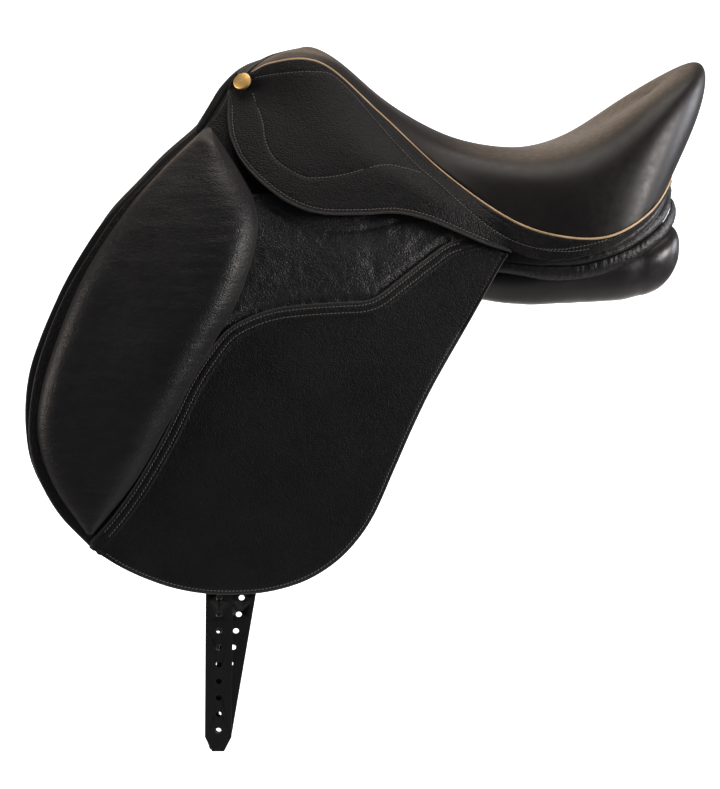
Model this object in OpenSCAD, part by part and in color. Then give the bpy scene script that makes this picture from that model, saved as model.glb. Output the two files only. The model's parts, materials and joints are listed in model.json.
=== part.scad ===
// Dressage saddle, built from its inner tree outward.
// X runs to the cantle, Y to the off side, Z up; Z = 0 is where the panels rest on the horse.
// Side pieces are drawn once for the near side (-Y) and mirrored.

/* [Seat] */
// from the origin forward to the pommel stud
seat_fore = 252; // [235:1:270]
// from the origin back to the rearmost point of the cantle
seat_aft = 206; // [190:1:225]
// height of the pommel
pommel_z = 242; // [232:1:255]
// height of the deepest point of the seat
seat_low_z = 145; // [138:1:152]
// height of the cantle
cantle_z = 224; // [210:1:240]
// half width of the seat at the twist
twist_half = 54; // [50:1:60]
// half width of the seat at its widest
seat_half = 141; // [134:1:148]
// lowest height of the seat edge
welt_low_z = 69; // [64:1:74]

/* [Seat layers] */
// seat leather thickness
cover_t = 2; // [1.5:0.1:3]
// foam thickness over the tree, on the centre line
foam_t = 14; // [10:1:20]
// room for the webs between foam and tree
web_room = 2.1; // [1.9:0.1:3]
// web thickness
web_t = 1.5; // [1:0.1:1.6]
// tree wood thickness
tree_t = 9; // [7:0.5:11]
// piping diameter
welt_d = 3.2; // [2.4:0.1:4]
// length of the gullet plate along the saddle
gullet_l = 40; // [34:1:44]
// gullet plate thickness
gullet_t = 3.4; // [2.5:0.1:4]
// gullet lining thickness
lining_t = 2.5; // [1.5:0.1:3]

/* [Side leather] */
// forward reach of the flap
flap_fore = 447; // [420:1:470]
// drop of the flap below the panels
flap_drop = 258; // [230:1:280]
// half width of the saddle at the flap bottom, outside of the flap
hang_half = 181; // [176:1:190]
// bending radius of the side sheets
hang_r = 950; // [930:5:975]
// flap sheet thickness
flap_t = 3.4; // [2.5:0.1:4]
// overlay thickness of the lower flap
apron_t = 2.2; // [1.5:0.1:2.6]
// padded insert thickness
insert_t = 3; // [2:0.1:3.4]
// sweat flap thickness
sweat_t = 3; // [2:0.1:3.5]
// how far the sweat flap shows in front of the flap
sweat_show = 5; // [3:0.5:8]
// skirt thickness
skirt_t = 3; // [2.5:0.1:4]
// skirt depth below its front end
skirt_depth = 107; // [100:1:114]
// how far the skirt stands off the flap over the stirrup bar
skirt_rise = 12; // [11:0.5:16]

/* [Thigh block] */
// greatest height of the block over the flap
block_h = 34; // [24:1:44]
// height of its sewn edge
block_edge = 6; // [4:0.5:9]

/* [Billets] */
// strap width
billet_w = 25; // [22:0.5:28]
// strap thickness
billet_t = 3.5; // [3:0.1:4]
// buckle hole diameter
hole_d = 5.5; // [4:0.1:7]
// buckle hole spacing
hole_pitch = 16; // [14:0.5:19]
// how far the straps reach below the panels
billet_drop = 410; // [390:1:430]

/* [Stirrup bar] */
// length of the bar
bar_l = 76; // [66:1:84]
// height of the bar section
bar_h = 11; // [9:0.5:13]
// thickness of the bar section
bar_t = 7; // [6.4:0.1:7.6]
// catch pin diameter
pin_d = 4; // [3:0.1:5]
// back plate thickness
plate_t = 3.4; // [2.5:0.1:3.8]

/* [Panels] */
// half width of the channel between the panels
channel_half = 31; // [26:0.5:34]
// half thickness of the panels
panel_b = 25; // [22:0.5:26]
// thickness of the facing under the cantle
facing_t = 1.8; // [1.5:0.1:2.4]

/* [Stud] */
// stud diameter
stud_d = 17; // [14:0.5:20]
// stud height
stud_h = 3.6; // [2.5:0.1:5]

/* [Hidden] */
// clearance between neighbours that do not move
gap = 0.3;
// clearance between moving layers of the side
slide = 1.3;
// the side sheets start from the tree at this half width and height
top_half = 75.556;
top_z = 150;
// height where the side sheets hang plumb
hang_z = top_z - sqrt(pow(hang_r, 2) - pow(top_half - hang_half + hang_r, 2));
// radii of the layers, outside to inside
flap_in = hang_r - flap_t;
keeper_out = flap_in - 0.4;
keeper_t = 2.2;
front_out = keeper_out - keeper_t - 0.5;
rear_out = front_out - billet_t - slide;
sweat_out = rear_out - billet_t - slide;
sweat_in = sweat_out - sweat_t;
cheek_t = 5.5;
cheek_out = sweat_out - 2.3;
drop_t = 3;
// clearance of the stud over the middle of its seat on the band
stud_lift = 0.9;

function clamp(t) = max(0, min(1, t));
function mix(a, b, t) = a + (b - a) * t;
function smooth(t) = let (c = clamp(t)) c * c * (3 - 2 * c);
function unit(v) = v / max(norm(v), 1e-9);
function flip_y(p) = [p[0], -p[1], p[2]];

// smooth curve through a list of points, t from 0 to 1
function spline(p, t) =
    let (
        n = len(p) - 1,
        f = clamp(t) * n,
        i = min(floor(f), n - 1),
        s = f - i,
        b = p[i],
        c = p[i + 1],
        a = i > 0 ? p[i - 1] : 2 * b - c,
        d = i < n - 1 ? p[i + 2] : 2 * c - b
    )
    b + 0.5 * s * (c - a + s * (2 * a - 5 * b + 4 * c - d + s * (3 * (b - c) + d - a)));
function curve(p, n) = [for (i = [0:n]) spline(p, i / n)];

// Seat surface: ribs from the centre line over the crest and the side to the welt.
// The rib points are drawn for the nominal sizes and stretched to the chosen ones.
function seat_x(x) = x < 0 ? x * seat_fore / 252 : x * seat_aft / 206;
function seat_y(x, y) = y * mix(twist_half / 54, seat_half / 141, smooth((x + 150) / 110));
function seat_z(x, z) =
    z < 145 ? mix(welt_low_z, seat_low_z, (z - 69) / 76)
    : x < 20 ? mix(seat_low_z, pommel_z, (z - 145) / 97)
    : mix(seat_low_z, cantle_z, (z - 145) / 79);
function sp(x, y, z) = [seat_x(x), seat_y(x, y), seat_z(x, z)];
spine_pts = [
    sp(-198, 0, 240), sp(-182, 0, 242), sp(-155, 0, 227), sp(-112, 0, 190), sp(-58, 0, 159), sp(-10, 0, 147),
    sp(35, 0, 145), sp(72, 0, 150), sp(100, 0, 159), sp(116, 0, 166), sp(124, 0, 169)];
crest_pts = [
    sp(-224, 22, 233), sp(-200, 30, 238), sp(-165, 30, 230), sp(-116, 34, 189), sp(-60, 50, 152), sp(-8, 74, 139),
    sp(37, 98, 139), sp(85, 104, 157), sp(136, 88, 191), sp(175, 52, 214), sp(190, 0, 224)];
side_pts = [
    sp(-240, 37, 223), sp(-212, 43, 233), sp(-171, 44, 229), sp(-119, 50, 186), sp(-61, 72, 142), sp(-6, 103, 120),
    sp(39, 128, 112), sp(92, 131, 118), sp(147, 108, 150), sp(187, 64, 178), sp(204, 0, 190)];
welt_pts = [
    sp(-252, 49, 211), sp(-222, 52, 227), sp(-176, 54, 226), sp(-122, 62, 180), sp(-62, 88, 124), sp(-5, 119, 84),
    sp(40, 138, 69), sp(86, 141, 69), sp(127, 122, 89), sp(157, 72, 115), sp(168, 0, 121)];
// the curves cross the centre line square, behind the cantle
function over_centre(p, t) = spline(concat(p, [flip_y(p[9])]), t * 10 / 11);
function spine(t) = over_centre(spine_pts, t);
function welt(t) = over_centre(welt_pts, t);
function rib(t) =
    let (c = over_centre(crest_pts, t))
    [flip_y(c), spine(t), c, over_centre(side_pts, t), welt(t)];
function seat_at(t, v) = spline(rib(t), 0.25 + 0.75 * v);
function seat_n(t, v) =
    let (
        h = 0.02,
        a = seat_at(min(1, t + h), v) - seat_at(max(0, t - h), v),
        b = seat_at(t, min(1, v + h)) - seat_at(t, max(0, v - h)),
        n = cross(a, b)
    )
    unit([n[0], v == 0 || t == 1 ? 0 : n[1], n[2]]);
function seat_in(t, v, d) = seat_at(t, v) - d * seat_n(t, v);
// both halves: w from -1 (near welt) over 0 (centre line) to 1 (off welt)
function seat_w(t, w, d) = w < 0 ? flip_y(seat_in(t, -w, d)) : seat_in(t, w, d);
// direction in which the cover leaves its edge
function edge_dir(t) = unit(seat_at(t, 1) - seat_at(t, 0.96));
// underside of the foam: straight ribs from below the centre line to inside the welt
function floor_at(t, v, d) =
    mix(spine(t) - [0, 0, foam_t + d], welt(t) + [0, t == 1 ? 0 : -6, -10 - d], v);
function floor_w(t, w, d) = w < 0 ? flip_y(floor_at(t, -w, d)) : floor_at(t, w, d);
// rail path from the near head round the cantle to the off head
function floor_u(s, v, d) = s <= 1 ? flip_y(floor_at(s, v, d)) : floor_at(2 - s, v, d);

// Closed solids from grids of points.
// sheet: outer grid a, inner grid b; fold joins the last row onto itself
module sheet(a, b, fold = false) {
    m = len(a);
    n = len(a[0]);
    o = m * n;
    function id(i, j) = fold && i == m - 1 ? i * n + min(j, n - 1 - j) : i * n + j;
    function quad(p, q, r, s) = [[p, q, r], [p, r, s]];
    skin = [for (i = [0:m - 2]) for (j = [0:n - 2])
        each quad(id(i, j), id(i, j + 1), id(i + 1, j + 1), id(i + 1, j))];
    back = [for (f = skin) [o + f[0], o + f[2], o + f[1]]];
    left = [for (i = [0:m - 2])
        each quad(id(i, 0), id(i + 1, 0), o + id(i + 1, 0), o + id(i, 0))];
    right = [for (i = [0:m - 2])
        each quad(id(i, n - 1), o + id(i, n - 1), o + id(i + 1, n - 1), id(i + 1, n - 1))];
    first = [for (j = [0:n - 2]) each quad(j, o + j, o + j + 1, j + 1)];
    last = fold ? [] : [for (j = [0:n - 2])
        each quad(id(m - 1, j), id(m - 1, j + 1), o + id(m - 1, j + 1), o + id(m - 1, j))];
    polyhedron([for (g = [a, b]) for (r = g) each r], concat(skin, back, left, right, first, last), convexity = 6);
}
// loft: list of closed rings, capped at both ends
module loft(g) {
    m = len(g);
    n = len(g[0]);
    skin = [for (i = [0:m - 2]) for (j = [0:n - 1])
        let (k = (j + 1) % n)
        each [[i * n + j, i * n + k, (i + 1) * n + k], [i * n + j, (i + 1) * n + k, (i + 1) * n + j]]];
    head = [for (j = [1:n - 2]) [0, j + 1, j]];
    tail = [for (j = [1:n - 2]) [(m - 1) * n, (m - 1) * n + j, (m - 1) * n + j + 1]];
    polyhedron([for (r = g) each r], concat(skin, head, tail), convexity = 6);
}
// oval cord along a path; up sets the direction of the second half axis
module cord(path, ra, rb, up = [0, 0, 1], n = 8) {
    k = len(path) - 1;
    loft([for (i = [0:k])
        let (
            d = unit(path[min(k, i + 1)] - path[max(0, i - 1)]),
            x = unit(cross(d, up)),
            y = cross(x, d)
        )
        [for (j = [0:n - 1]) path[i] + ra * cos(360 * j / n) * x + rb * sin(360 * j / n) * y]]);
}

// Side surface: concentric cylinders along X; children are outlines in X and Z.
function side_y(z, r) = hang_half - hang_r + sqrt(r * r - (z - hang_z) * (z - hang_z));
function on_side(x, z, r) = [x, -side_y(z, r), z];
// how far the side has moved out from the one that the outlines are drawn for
function side_move(z) = side_y(z, hang_r) - (181 - 950 + sqrt(950 * 950 - (z + 285) * (z + 285)));
module shell(r_in, r_out) {
    translate([-600, hang_r - hang_half, hang_z]) rotate([0, 90, 0]) difference() {
        cylinder(r = r_out, h = 900, $fn = 720);
        translate([0, 0, -1]) cylinder(r = r_in, h = 902, $fn = 720);
    }
}
module outline_prism() {
    rotate([90, 0, 0]) linear_extrude(height = 260) children();
}
module hung(r_in, r_out) {
    intersection() {
        outline_prism() children();
        shell(r_in, r_out);
    }
}
module both() {
    children();
    mirror([0, 1, 0]) children();
}

// Hinge line of flap and skirt, from below the stud to the rear top of the flap.
hinge_a = [-seat_fore - 2, pommel_z - 47];
hinge_b = [seat_x(0), welt_low_z - 17];
function hinge(u) = mix(hinge_a, hinge_b, u);
hinge_dir = unit(hinge_b - hinge_a);
hinge_down = [hinge_dir[1], -hinge_dir[0]];
function along(p) = (p - hinge_a) * hinge_dir / norm(hinge_b - hinge_a);
// how far the inside of the skirt stands off the flap
function standoff(p) = 3.2 + skirt_rise * smooth(along(p) / 0.25) * smooth((1 - along(p)) / 0.35);
function skirt_at(p, d) = on_side(p[0], p[1], hang_r + standoff(p) + d);

// Flap outline, stretched to the chosen reach and drop.
function fp(x, z) = [x * flap_fore / 447, z < 0 ? z * flap_drop / 258 : z];
front_edge = [
    fp(-276, 177), fp(-298, 155), fp(-325, 129), fp(-352, 102), fp(-390, 54), fp(-417, 5), fp(-435, -43),
    fp(-447, -96), fp(-445, -131), fp(-431, -166), fp(-396, -207)];
low_edge = [
    fp(-396, -207), fp(-352, -236), fp(-314, -252), fp(-283, -258), fp(-241, -257), fp(-206, -249), fp(-178, -234),
    fp(-156, -211), fp(-135, -172), fp(-115, -128), fp(-80, -70), fp(-43, -7), fp(-14, 38)];
seam = [
    fp(-393, -204), fp(-359, -169), fp(-322, -115), fp(-294, -66), fp(-271, -30), fp(-238, -9), fp(-201, 2),
    fp(-136, 7), fp(-114, 19), fp(-70, 48)];
block_front = [
    fp(-291, 158), fp(-322, 130), fp(-364, 86), fp(-400, 28), fp(-428, -33), fp(-440, -88), fp(-436, -126),
    fp(-418, -166), fp(-401, -191)];
block_rear = [
    fp(-281, 158), fp(-262, 124), fp(-246, 88), fp(-242, 55), fp(-261, 2), fp(-289, -42), fp(-328, -112),
    fp(-365, -160), fp(-396, -194)];
flap_top = [hinge(0.985) + 6 * hinge_down, hinge(0.5) + 6 * hinge_down, hinge(0.02) + 6 * hinge_down];

// stirrup bar place on the side
bar_x = -160;
bar_z = 106;
bar_tilt = 90 - asin((bar_z - hang_z) / flap_in);
module at_bar() {
    translate(on_side(bar_x, bar_z, flap_in)) rotate([bar_tilt, 0, 0]) children();
}
module window() {
    translate([bar_x + 6, bar_z + 4.5]) square([bar_l + 40, 39], center = true);
}

// Tree
// all pieces of the seat share the same stations from head to cantle
stations = 30;
function at(i) = i / stations;
module tree_head() {
    t = [for (i = [0.5, 1, 2, 3, 4, 5, 5.96]) at(i)];
    w = [for (j = [-4:4]) 0.225 * j];
    color("burlywood") sheet(
        [for (k = t) [for (j = w) floor_w(k, j, web_room)]],
        [for (k = t) [for (j = w) floor_w(k, j, web_room + tree_t)]]);
}
module tree_rails() {
    s = [for (i = [6:2 * stations - 6]) at(i)];
    v = [0.42, 0.56, 0.7, 0.84];
    color("burlywood") sheet(
        [for (k = s) [for (j = v) floor_u(k, j, web_room)]],
        [for (k = s) [for (j = v) floor_u(k, j, web_room + tree_t)]]);
}
module tree_cheek() {
    color("burlywood") hung(cheek_out - cheek_t, cheek_out)
        polygon([[-203, 104], [-190, 88], [-120, 88], [-95, 108], [-95, 128], [-112, 143], [-140, 164],
            [-165, 182], [-203, 190]]);
}
// arch over the withers: y over z, drawn for the nominal pommel height
function arch_y(z) = side_y(z, cheek_out + 4);
arch_top = pommel_z - foam_t - web_room - tree_t - 6;
arch_pts = [[arch_y(112), 112], [arch_y(140), 140], [arch_y(164) - 0.6, 164], [arch_y(182) - 4, 182],
    [18, arch_top - 6], [0, arch_top]];
module arch(t0, t1) {
    p = curve(arch_pts, 20);
    function inward(i) =
        let (d = unit(p[min(20, i + 1)] - p[max(0, i - 1)]))
        i == 20 ? [0, -1] : [d[1] < 0 ? d[1] : -d[1], d[0]];
    half_a = [for (i = [0:20]) p[i] + t0 * inward(i)];
    half_b = [for (i = [0:20]) p[i] + t1 * inward(i)];
    polygon(concat(
        half_a, [for (i = [19:-1:0]) [-half_a[i][0], half_a[i][1]]],
        [for (i = [0:20]) [-half_b[i][0], half_b[i][1]]], [for (i = [19:-1:0]) half_b[i]]));
}
module gullet_plate() {
    color("silver") translate([seat_x(-245), 0, 0]) rotate([90, 0, 90]) linear_extrude(height = gullet_l)
        arch(0, gullet_t);
}
module gullet_lining() {
    color("#222") translate([seat_x(-258), 0, 0]) rotate([90, 0, 90]) linear_extrude(height = gullet_l + 14)
        arch(gullet_t + gap, gullet_t + gap + lining_t);
}
module spring_steel() {
    s = [for (i = [8:24]) at(i)];
    d = web_room + tree_t + gap;
    color("silver") sheet(
        [for (k = s) [for (v = [0.55, 0.68]) floor_u(k, v, d)]],
        [for (k = s) [for (v = [0.55, 0.68]) floor_u(k, v, d + 1.6)]]);
}
module web_across(first, last) {
    t = [for (i = [first:last]) at(i)];
    w = [for (j = [-6:6]) 0.14 * j];
    color("ivory") sheet(
        [for (k = t) [for (j = w) floor_w(k, j, gap)]],
        [for (k = t) [for (j = w) floor_w(k, j, gap + web_t)]]);
}
module girth_web() {
    web_across(7, 8);
}
module seat_web() {
    web_across(15, 17);
}

// Seat
module seat_foam() {
    t = [for (i = [1:stations]) at(i)];
    w = [for (j = [-8:8]) 0.1111 * j];
    color("khaki") sheet(
        [for (k = t) [for (j = w) seat_w(k, j, cover_t + 3 * gap)]],
        [for (k = t) [for (j = w) floor_w(k, j, 0)]], fold = true);
}
module seat_cover() {
    t = [for (i = [0:stations]) at(i)];
    w = [for (j = [-9:9]) j / 9];
    color("#1c1a19") sheet(
        [for (k = t) [for (j = w) seat_w(k, j, 0)]],
        [for (k = t) [for (j = w) seat_w(k, j, cover_t)]], fold = true);
}
function welt_line(s) =
    let (t = s <= 1 ? s : 2 - s, p = seat_at(t, 1) + (welt_d / 2 + 3 * gap) * edge_dir(t))
    s <= 1 ? flip_y(p) : p;
module seat_welt() {
    color("tan") cord([for (i = [0:2 * stations]) welt_line(at(i))], welt_d / 2, welt_d / 2);
}

// Skirt: fixed band from the welt to the hinge line, with its tail, and the lobe that lifts
band_u = [0, 0.05, 0.18, 0.42, 0.69, 0.985];
function tail_pt(x, y, z) = [seat_x(x), -seat_y(x, y), z + welt_low_z - 69];
tail_pts = [
    skirt_at(hinge(0.985), 0), tail_pt(13, 127, 48), tail_pt(30, 132, 46), tail_pt(51, 136, 48), tail_pt(74, 136, 53),
    tail_pt(91, 132, 60), tail_pt(109, 124, 70), tail_pt(120, 118, 78)];
function band_low(t, d) =
    t < 0.5 ? skirt_at(hinge(spline(band_u, t / 0.5)), d)
    : spline(tail_pts, (t - 0.5) / (at(23) - 0.5)) + [0, -d, 0];
function band_top(t, d) =
    flip_y(seat_at(t, 1) + (welt_d + 6 * gap) * edge_dir(t) + (d - skirt_t + 0.4) * seat_n(t, 1));
function band_at(t, v, d) = mix(band_top(t, d), band_low(t, d), v) + [0, -4 * v * (1 - v) * 2.5, 0];
module skirt_band() {
    t = [for (i = [0:23]) at(i)];
    color("#262424") sheet(
        [for (k = t) [for (v = [0:0.25:1]) band_at(k, v, skirt_t)]],
        [for (k = t) [for (v = [0:0.25:1]) band_at(k, v, 0)]]);
}
function sk(x, f) = hinge_a + [x, -f * skirt_depth];
lobe_edge = [
    sk(-9, 0.06), sk(-12, 0.2), sk(-11, 0.36), sk(-1, 0.55), sk(19, 0.75), sk(45, 0.92), sk(73, 1), hinge_b + [-144, 35],
    hinge_b + [-111, 36], hinge_b + [-83, 30], hinge_b + [-56, 19], hinge_b + [-28, 7], hinge_b + [-8, 1]];
lobe_u = [0.005, 0.02, 0.06, 0.13, 0.22, 0.32, 0.42, 0.52, 0.62, 0.72, 0.82, 0.91, 0.975];
function lobe_at(s, v, d) =
    let (top = hinge(spline(lobe_u, s)) + gap * 2 * hinge_down)
    skirt_at(mix(top, spline(lobe_edge, s), v), d);
module skirt() {
    s = [for (i = [0:28]) i / 28];
    v = [0, 0.25, 0.5, 0.75, 1];
    color("#262424") sheet(
        [for (k = s) [for (j = v) lobe_at(k, j, skirt_t)]],
        [for (k = s) [for (j = v) lobe_at(k, j, 0)]]);
}

// Flap
module flap_outline() {
    polygon(concat(curve(front_edge, 30), curve(low_edge, 36), flap_top));
}
module flap() {
    color("#242222") hung(flap_in, hang_r) difference() {
        flap_outline();
        window();
    }
}
// its upper edge keeps clear of the band as the flaps hang wider
margin_h = 24 - max(0, hang_half - 181) / 4;
module flap_margin() {
    color("#242222") hung(flap_in, hang_r) difference() {
        polygon([hinge(0.04) + 5.4 * hinge_down, hinge(0.95) + 5.4 * hinge_down, hinge(0.93) - (margin_h - 2) * hinge_down,
            hinge(0.35) - margin_h * hinge_down, hinge(0.06) - margin_h / 2 * hinge_down]);
        window();
    }
}
module flap_apron() {
    color("#2c2a2a") hung(hang_r + 0.2, hang_r + 0.2 + apron_t)
        polygon(concat(curve(seam, 30), [hinge(0.86) + 28 * hinge_down, hinge(0.965) + 10 * hinge_down],
            [for (i = [36:-1:1]) spline(low_edge, i / 36)]));
}
module flap_insert() {
    color("#2a2828") hung(hang_r + 0.2, hang_r + 0.2 + insert_t)
        polygon(concat(
            [for (i = [11:24]) spline(block_rear, i / 40) + [4, 0]],
            [for (i = [14:30]) spline(seam, i / 30) + [-1, 5]],
            [fp(-92, 72), fp(-112, 86), fp(-224, 86)]));
}
function block_edge_at(u, w) = mix(spline(block_front, u), spline(block_rear, u), w);
function block_at(u, w) =
    let (
        p = block_edge_at(u, w),
        ridge = pow(sin(180 * pow(w, 1.5)), 0.75),
        run = pow(max(0, sin(180 * pow(u, 0.85))), 0.7),
        h = block_edge + (block_h - block_edge) * ridge * run
    )
    on_side(p[0], p[1], hang_r + 0.2 + h);
module thigh_block() {
    u = [for (i = [0:20]) i / 20];
    w = [0, 0.15, 0.3, 0.45, 0.6, 0.72, 0.82, 0.9, 0.96, 1];
    color("#1e1c1c") sheet(
        [for (k = u) [for (j = w) let (p = block_edge_at(k, j)) on_side(p[0], p[1], hang_r + 0.2)]],
        [for (k = u) [for (j = w) block_at(k, j)]]);
}
module sweat_flap() {
    out = [-sweat_show, 0];
    color("#201e1e") hung(sweat_in, sweat_out)
        polygon(concat(
            [for (i = [0:28]) spline(front_edge, i / 30) + out],
            [for (i = [3:33]) spline(low_edge, i / 36) + [-7, 9]],
            [fp(-40, 32), fp(-200, 50), fp(-252, 56), fp(-262, 90), fp(-262, 160)]));
}

// Billets hang from straps behind their tops
front_top = [-273, 80];
front_lean = 1;
rear_top = [-200, 66];
rear_lean = 10;
module strap_outline(top, lean) {
    len = (top[1] + billet_drop) / cos(lean);
    h = billet_w / 2;
    translate(top) rotate(-lean) difference() {
        polygon([[-h, 12], [h, 12], [h, 14 - len], [h * 0.45, -len], [-h * 0.45, -len], [-h, 14 - len]]);
        for (i = [0:8])
            translate([0, 20 - len + i * hole_pitch]) circle(d = hole_d, $fn = 32);
    }
}
module billet(top, lean, r_out) {
    intersection() {
        outline_prism() strap_outline(top, lean);
        union() {
            intersection() {
                shell(r_out - billet_t, r_out);
                translate([-600, -300, hang_z]) cube([900, 300, 500]);
            }
            translate([-600, hang_r - hang_half - r_out, hang_z - 250]) cube([900, billet_t, 250]);
        }
    }
}
module billet_front() {
    color("#151414") billet(front_top, front_lean, front_out);
}
module billet_rear() {
    color("#151414") billet(rear_top, rear_lean, rear_out);
}
module point_strap() {
    h = billet_w / 2 - 1;
    r = front_out - billet_t - gap;
    color("ivory") hung(r - drop_t - 0.8, r)
        polygon([front_top + [-h, -10], front_top + [h, -10], front_top + [h + 24, 70], front_top + [-h + 26, 74]]);
}
module web_drop() {
    r = rear_out - billet_t - gap;
    color("ivory") hung(r - drop_t, r)
        translate(rear_top) rotate(-rear_lean) translate([1 - billet_w / 2, -10]) square([billet_w - 2, 110]);
}
module billet_keeper() {
    z = -120;
    lo = front_top[0] - (front_top[1] - z) * tan(front_lean + 6.2) - billet_w / 2;
    hi = rear_top[0] - (rear_top[1] - z - 15) * tan(rear_lean) + billet_w / 2 / cos(rear_lean) + 0.8;
    color("#151414") union() {
        hung(keeper_out - keeper_t, keeper_out)
            translate([lo - 6, z - 15]) square([hi - lo + 12, 30]);
        hung(sweat_out + 0.1, keeper_out - keeper_t / 2) {
            translate([lo - 6, z - 15]) square([6, 30]);
            translate([hi, z - 15]) square([6, 30]);
        }
    }
}

// Stirrup bar: back plate, front arm and bar; the catch turns on a pin at the rear end
plate_out = -(flap_in - cheek_out - 3.6 - plate_t);
module stirrup_bar() {
    e = bar_l / 2;
    color("silver") at_bar() {
        translate([-e, -16, plate_out - plate_t]) cube([bar_l + 8, 32, plate_t]);
        translate([-e, -bar_h / 2, plate_out - 0.5]) cube([10, bar_h, 14.5 - plate_out]);
        translate([-e, -bar_h / 2, 14 - bar_t]) cube([bar_l - 10, bar_h, bar_t]);
        difference() {
            hull() {
                translate([e - 14, 0, 14 - bar_t]) cylinder(d = bar_h, h = 3.2, $fn = 40);
                translate([e - 2, 0, 14 - bar_t]) cylinder(d = bar_h, h = 3.2, $fn = 40);
            }
            translate([e - 2, 0, 0]) cylinder(d = pin_d + 0.1, h = 20, $fn = 40);
        }
    }
}
module catch_pin() {
    color("dimgray") at_bar() translate([bar_l / 2 - 2, 0, 13.5 - bar_t]) union() {
        cylinder(d = pin_d, h = bar_t + 0.5, $fn = 40);
        translate([0, 0, bar_t + gap]) cylinder(d = pin_d + 2, h = 1, $fn = 40);
    }
}
module stirrup_catch() {
    color("silver") at_bar() translate([bar_l / 2 - 2, 0, 14 - bar_t + 3.5]) difference() {
        hull() {
            cylinder(d = bar_h, h = 3, $fn = 40);
            translate([22, 1, 0]) cylinder(d = bar_h - 3, h = 3, $fn = 40);
        }
        translate([0, 0, -1]) cylinder(d = pin_d + 0.6, h = 8, $fn = 40);
    }
}
module stirrup_bar_rivets() {
    color("dimgray") at_bar()
        for (x = [4, bar_l / 2])
            translate([x, 10, plate_out - plate_t - 3.2]) cylinder(d = 7, h = 3, $fn = 32);
}

// Panels: top edge, lower edge and half thickness of each section along X
panel_x = [-256, -228, -180, -120, -60, 0, 50, 100, 133, 152, 162, 166];
panel_top = [[29, 168], [26, 160], [25, 146], [26, 120], [28, 88], [30, 57], [31, 46], [32, 43], [34, 49], [42, 59],
    [54, 63], [64, 65]];
panel_low = [[52, 118], [58, 84], [72, 38], [86, 20], [94, 14], [111, 12], [121, 20], [121, 25], [112, 35], [94, 53],
    [82, 61], [70, 64]];
panel_th = [0.4, 0.6, 0.72, 0.8, 0.95, 1, 1, 0.97, 0.95, 0.86, 0.6, 0.2];
function panel_pt(s, a) =
    let (
        x = spline(panel_x, s),
        l = spline(panel_low, s),
        t = spline(panel_top, s) + [channel_half - 31, 0],
        // under the seat the outer edge follows the seat's width
        b = [l[0] * mix(1, seat_half / 141, smooth((x + 110) / 80)) + min(0, side_move(14)), l[1]],
        c = (t + b) / 2,
        w = (b - t) / 2,
        n = unit([-w[1], w[0]]) * spline(panel_th, s) * panel_b,
        ca = cos(a),
        sa = sin(a),
        p = c + w * sign(ca) * pow(abs(ca), 0.75) + n * sign(sa) * pow(abs(sa), 0.75)
    )
    [x, -p[0], p[1]];
module panel() {
    n = 18;
    color("#1d1b1b") loft([for (i = [0:24]) [for (j = [0:n - 1]) panel_pt(i / 24, -360 * (j + 0.5) / n)]]);
}
// gusset: pleated strip from the panel's upper outer edge up to the cantle facing
function facing_pt(x, y, z) = [seat_x(x), -seat_y(x, y), z + welt_low_z - 69];
facing_low = [facing_pt(2, 114, 42), facing_pt(32, 121, 41), facing_pt(60, 124, 42), facing_pt(85, 123, 48),
    facing_pt(112, 116, 60), facing_pt(136, 98, 73), facing_pt(150, 76, 88),
    facing_pt(158, 46, 98), facing_pt(162, 20, 102), facing_pt(163, 0, 103)];
function gusset_foot(k) = panel_pt(0.45 + 0.47 * k, 55) + [1.2 * k, -0.8, 0.8];
function gusset_head(k) = spline(facing_low, 0.8 * k);
// square to the strip, towards the middle of the seat
function gusset_in(k) = unit(cross(
    gusset_head(k) - gusset_foot(k), gusset_head(min(1, k + 0.06)) - gusset_head(max(0, k - 0.06))));
module panel_gusset() {
    k = [for (i = [0:16]) i / 16];
    color("#242222") sheet(
        [for (i = k) [for (v = [0, 0.35, 0.62]) mix(gusset_foot(i), gusset_head(i), v)]],
        [for (i = k) [for (v = [0.2, 0.42, 0.62])
            mix(gusset_foot(i), gusset_head(i), v) + facing_t * gusset_in(i)]]);
}
module cantle_facing() {
    k = [for (i = [0:32]) i / 32];
    // one half, then the other in reverse
    function low(i) = i <= 0.5 ? spline(facing_low, 2 * i) : flip_y(spline(facing_low, 2 - 2 * i));
    function top(i) = i <= 0.5 ? flip_y(floor_at(0.5 + i, 0.98, 1.4)) : floor_at(1.5 - i, 0.98, 1.4);
    // level and towards the middle of the seat
    function inward(p) = unit([seat_x(60) - p[0], -p[1], 0]);
    function face(i, v, d) = let (p = mix(top(i), low(i), v)) p + d * inward(p);
    color("#201e1e") sheet(
        [for (i = k) [for (v = [0, 0.5, 1]) face(i, v, 0)]],
        [for (i = k) [for (v = [0, 0.5, 1]) face(i, v, facing_t)]]);
}
module panel_bridge() {
    s = [for (i = [0:10]) mix(0.18, 0.78, i / 10)];
    function span(i, w, d) =
        let (p = panel_pt(i, 150), y = -p[1])
        [p[0], y * w, p[2] + 0.6 + (1 - w * w) * 13 + d];
    color("#2a2828") sheet(
        [for (i = s) [for (w = [-1, -0.6, -0.2, 0.2, 0.6, 1]) span(i, w, 2.4)]],
        [for (i = s) [for (w = [-1, -0.6, -0.2, 0.2, 0.6, 1]) span(i, w, 0)]]);
}

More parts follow.
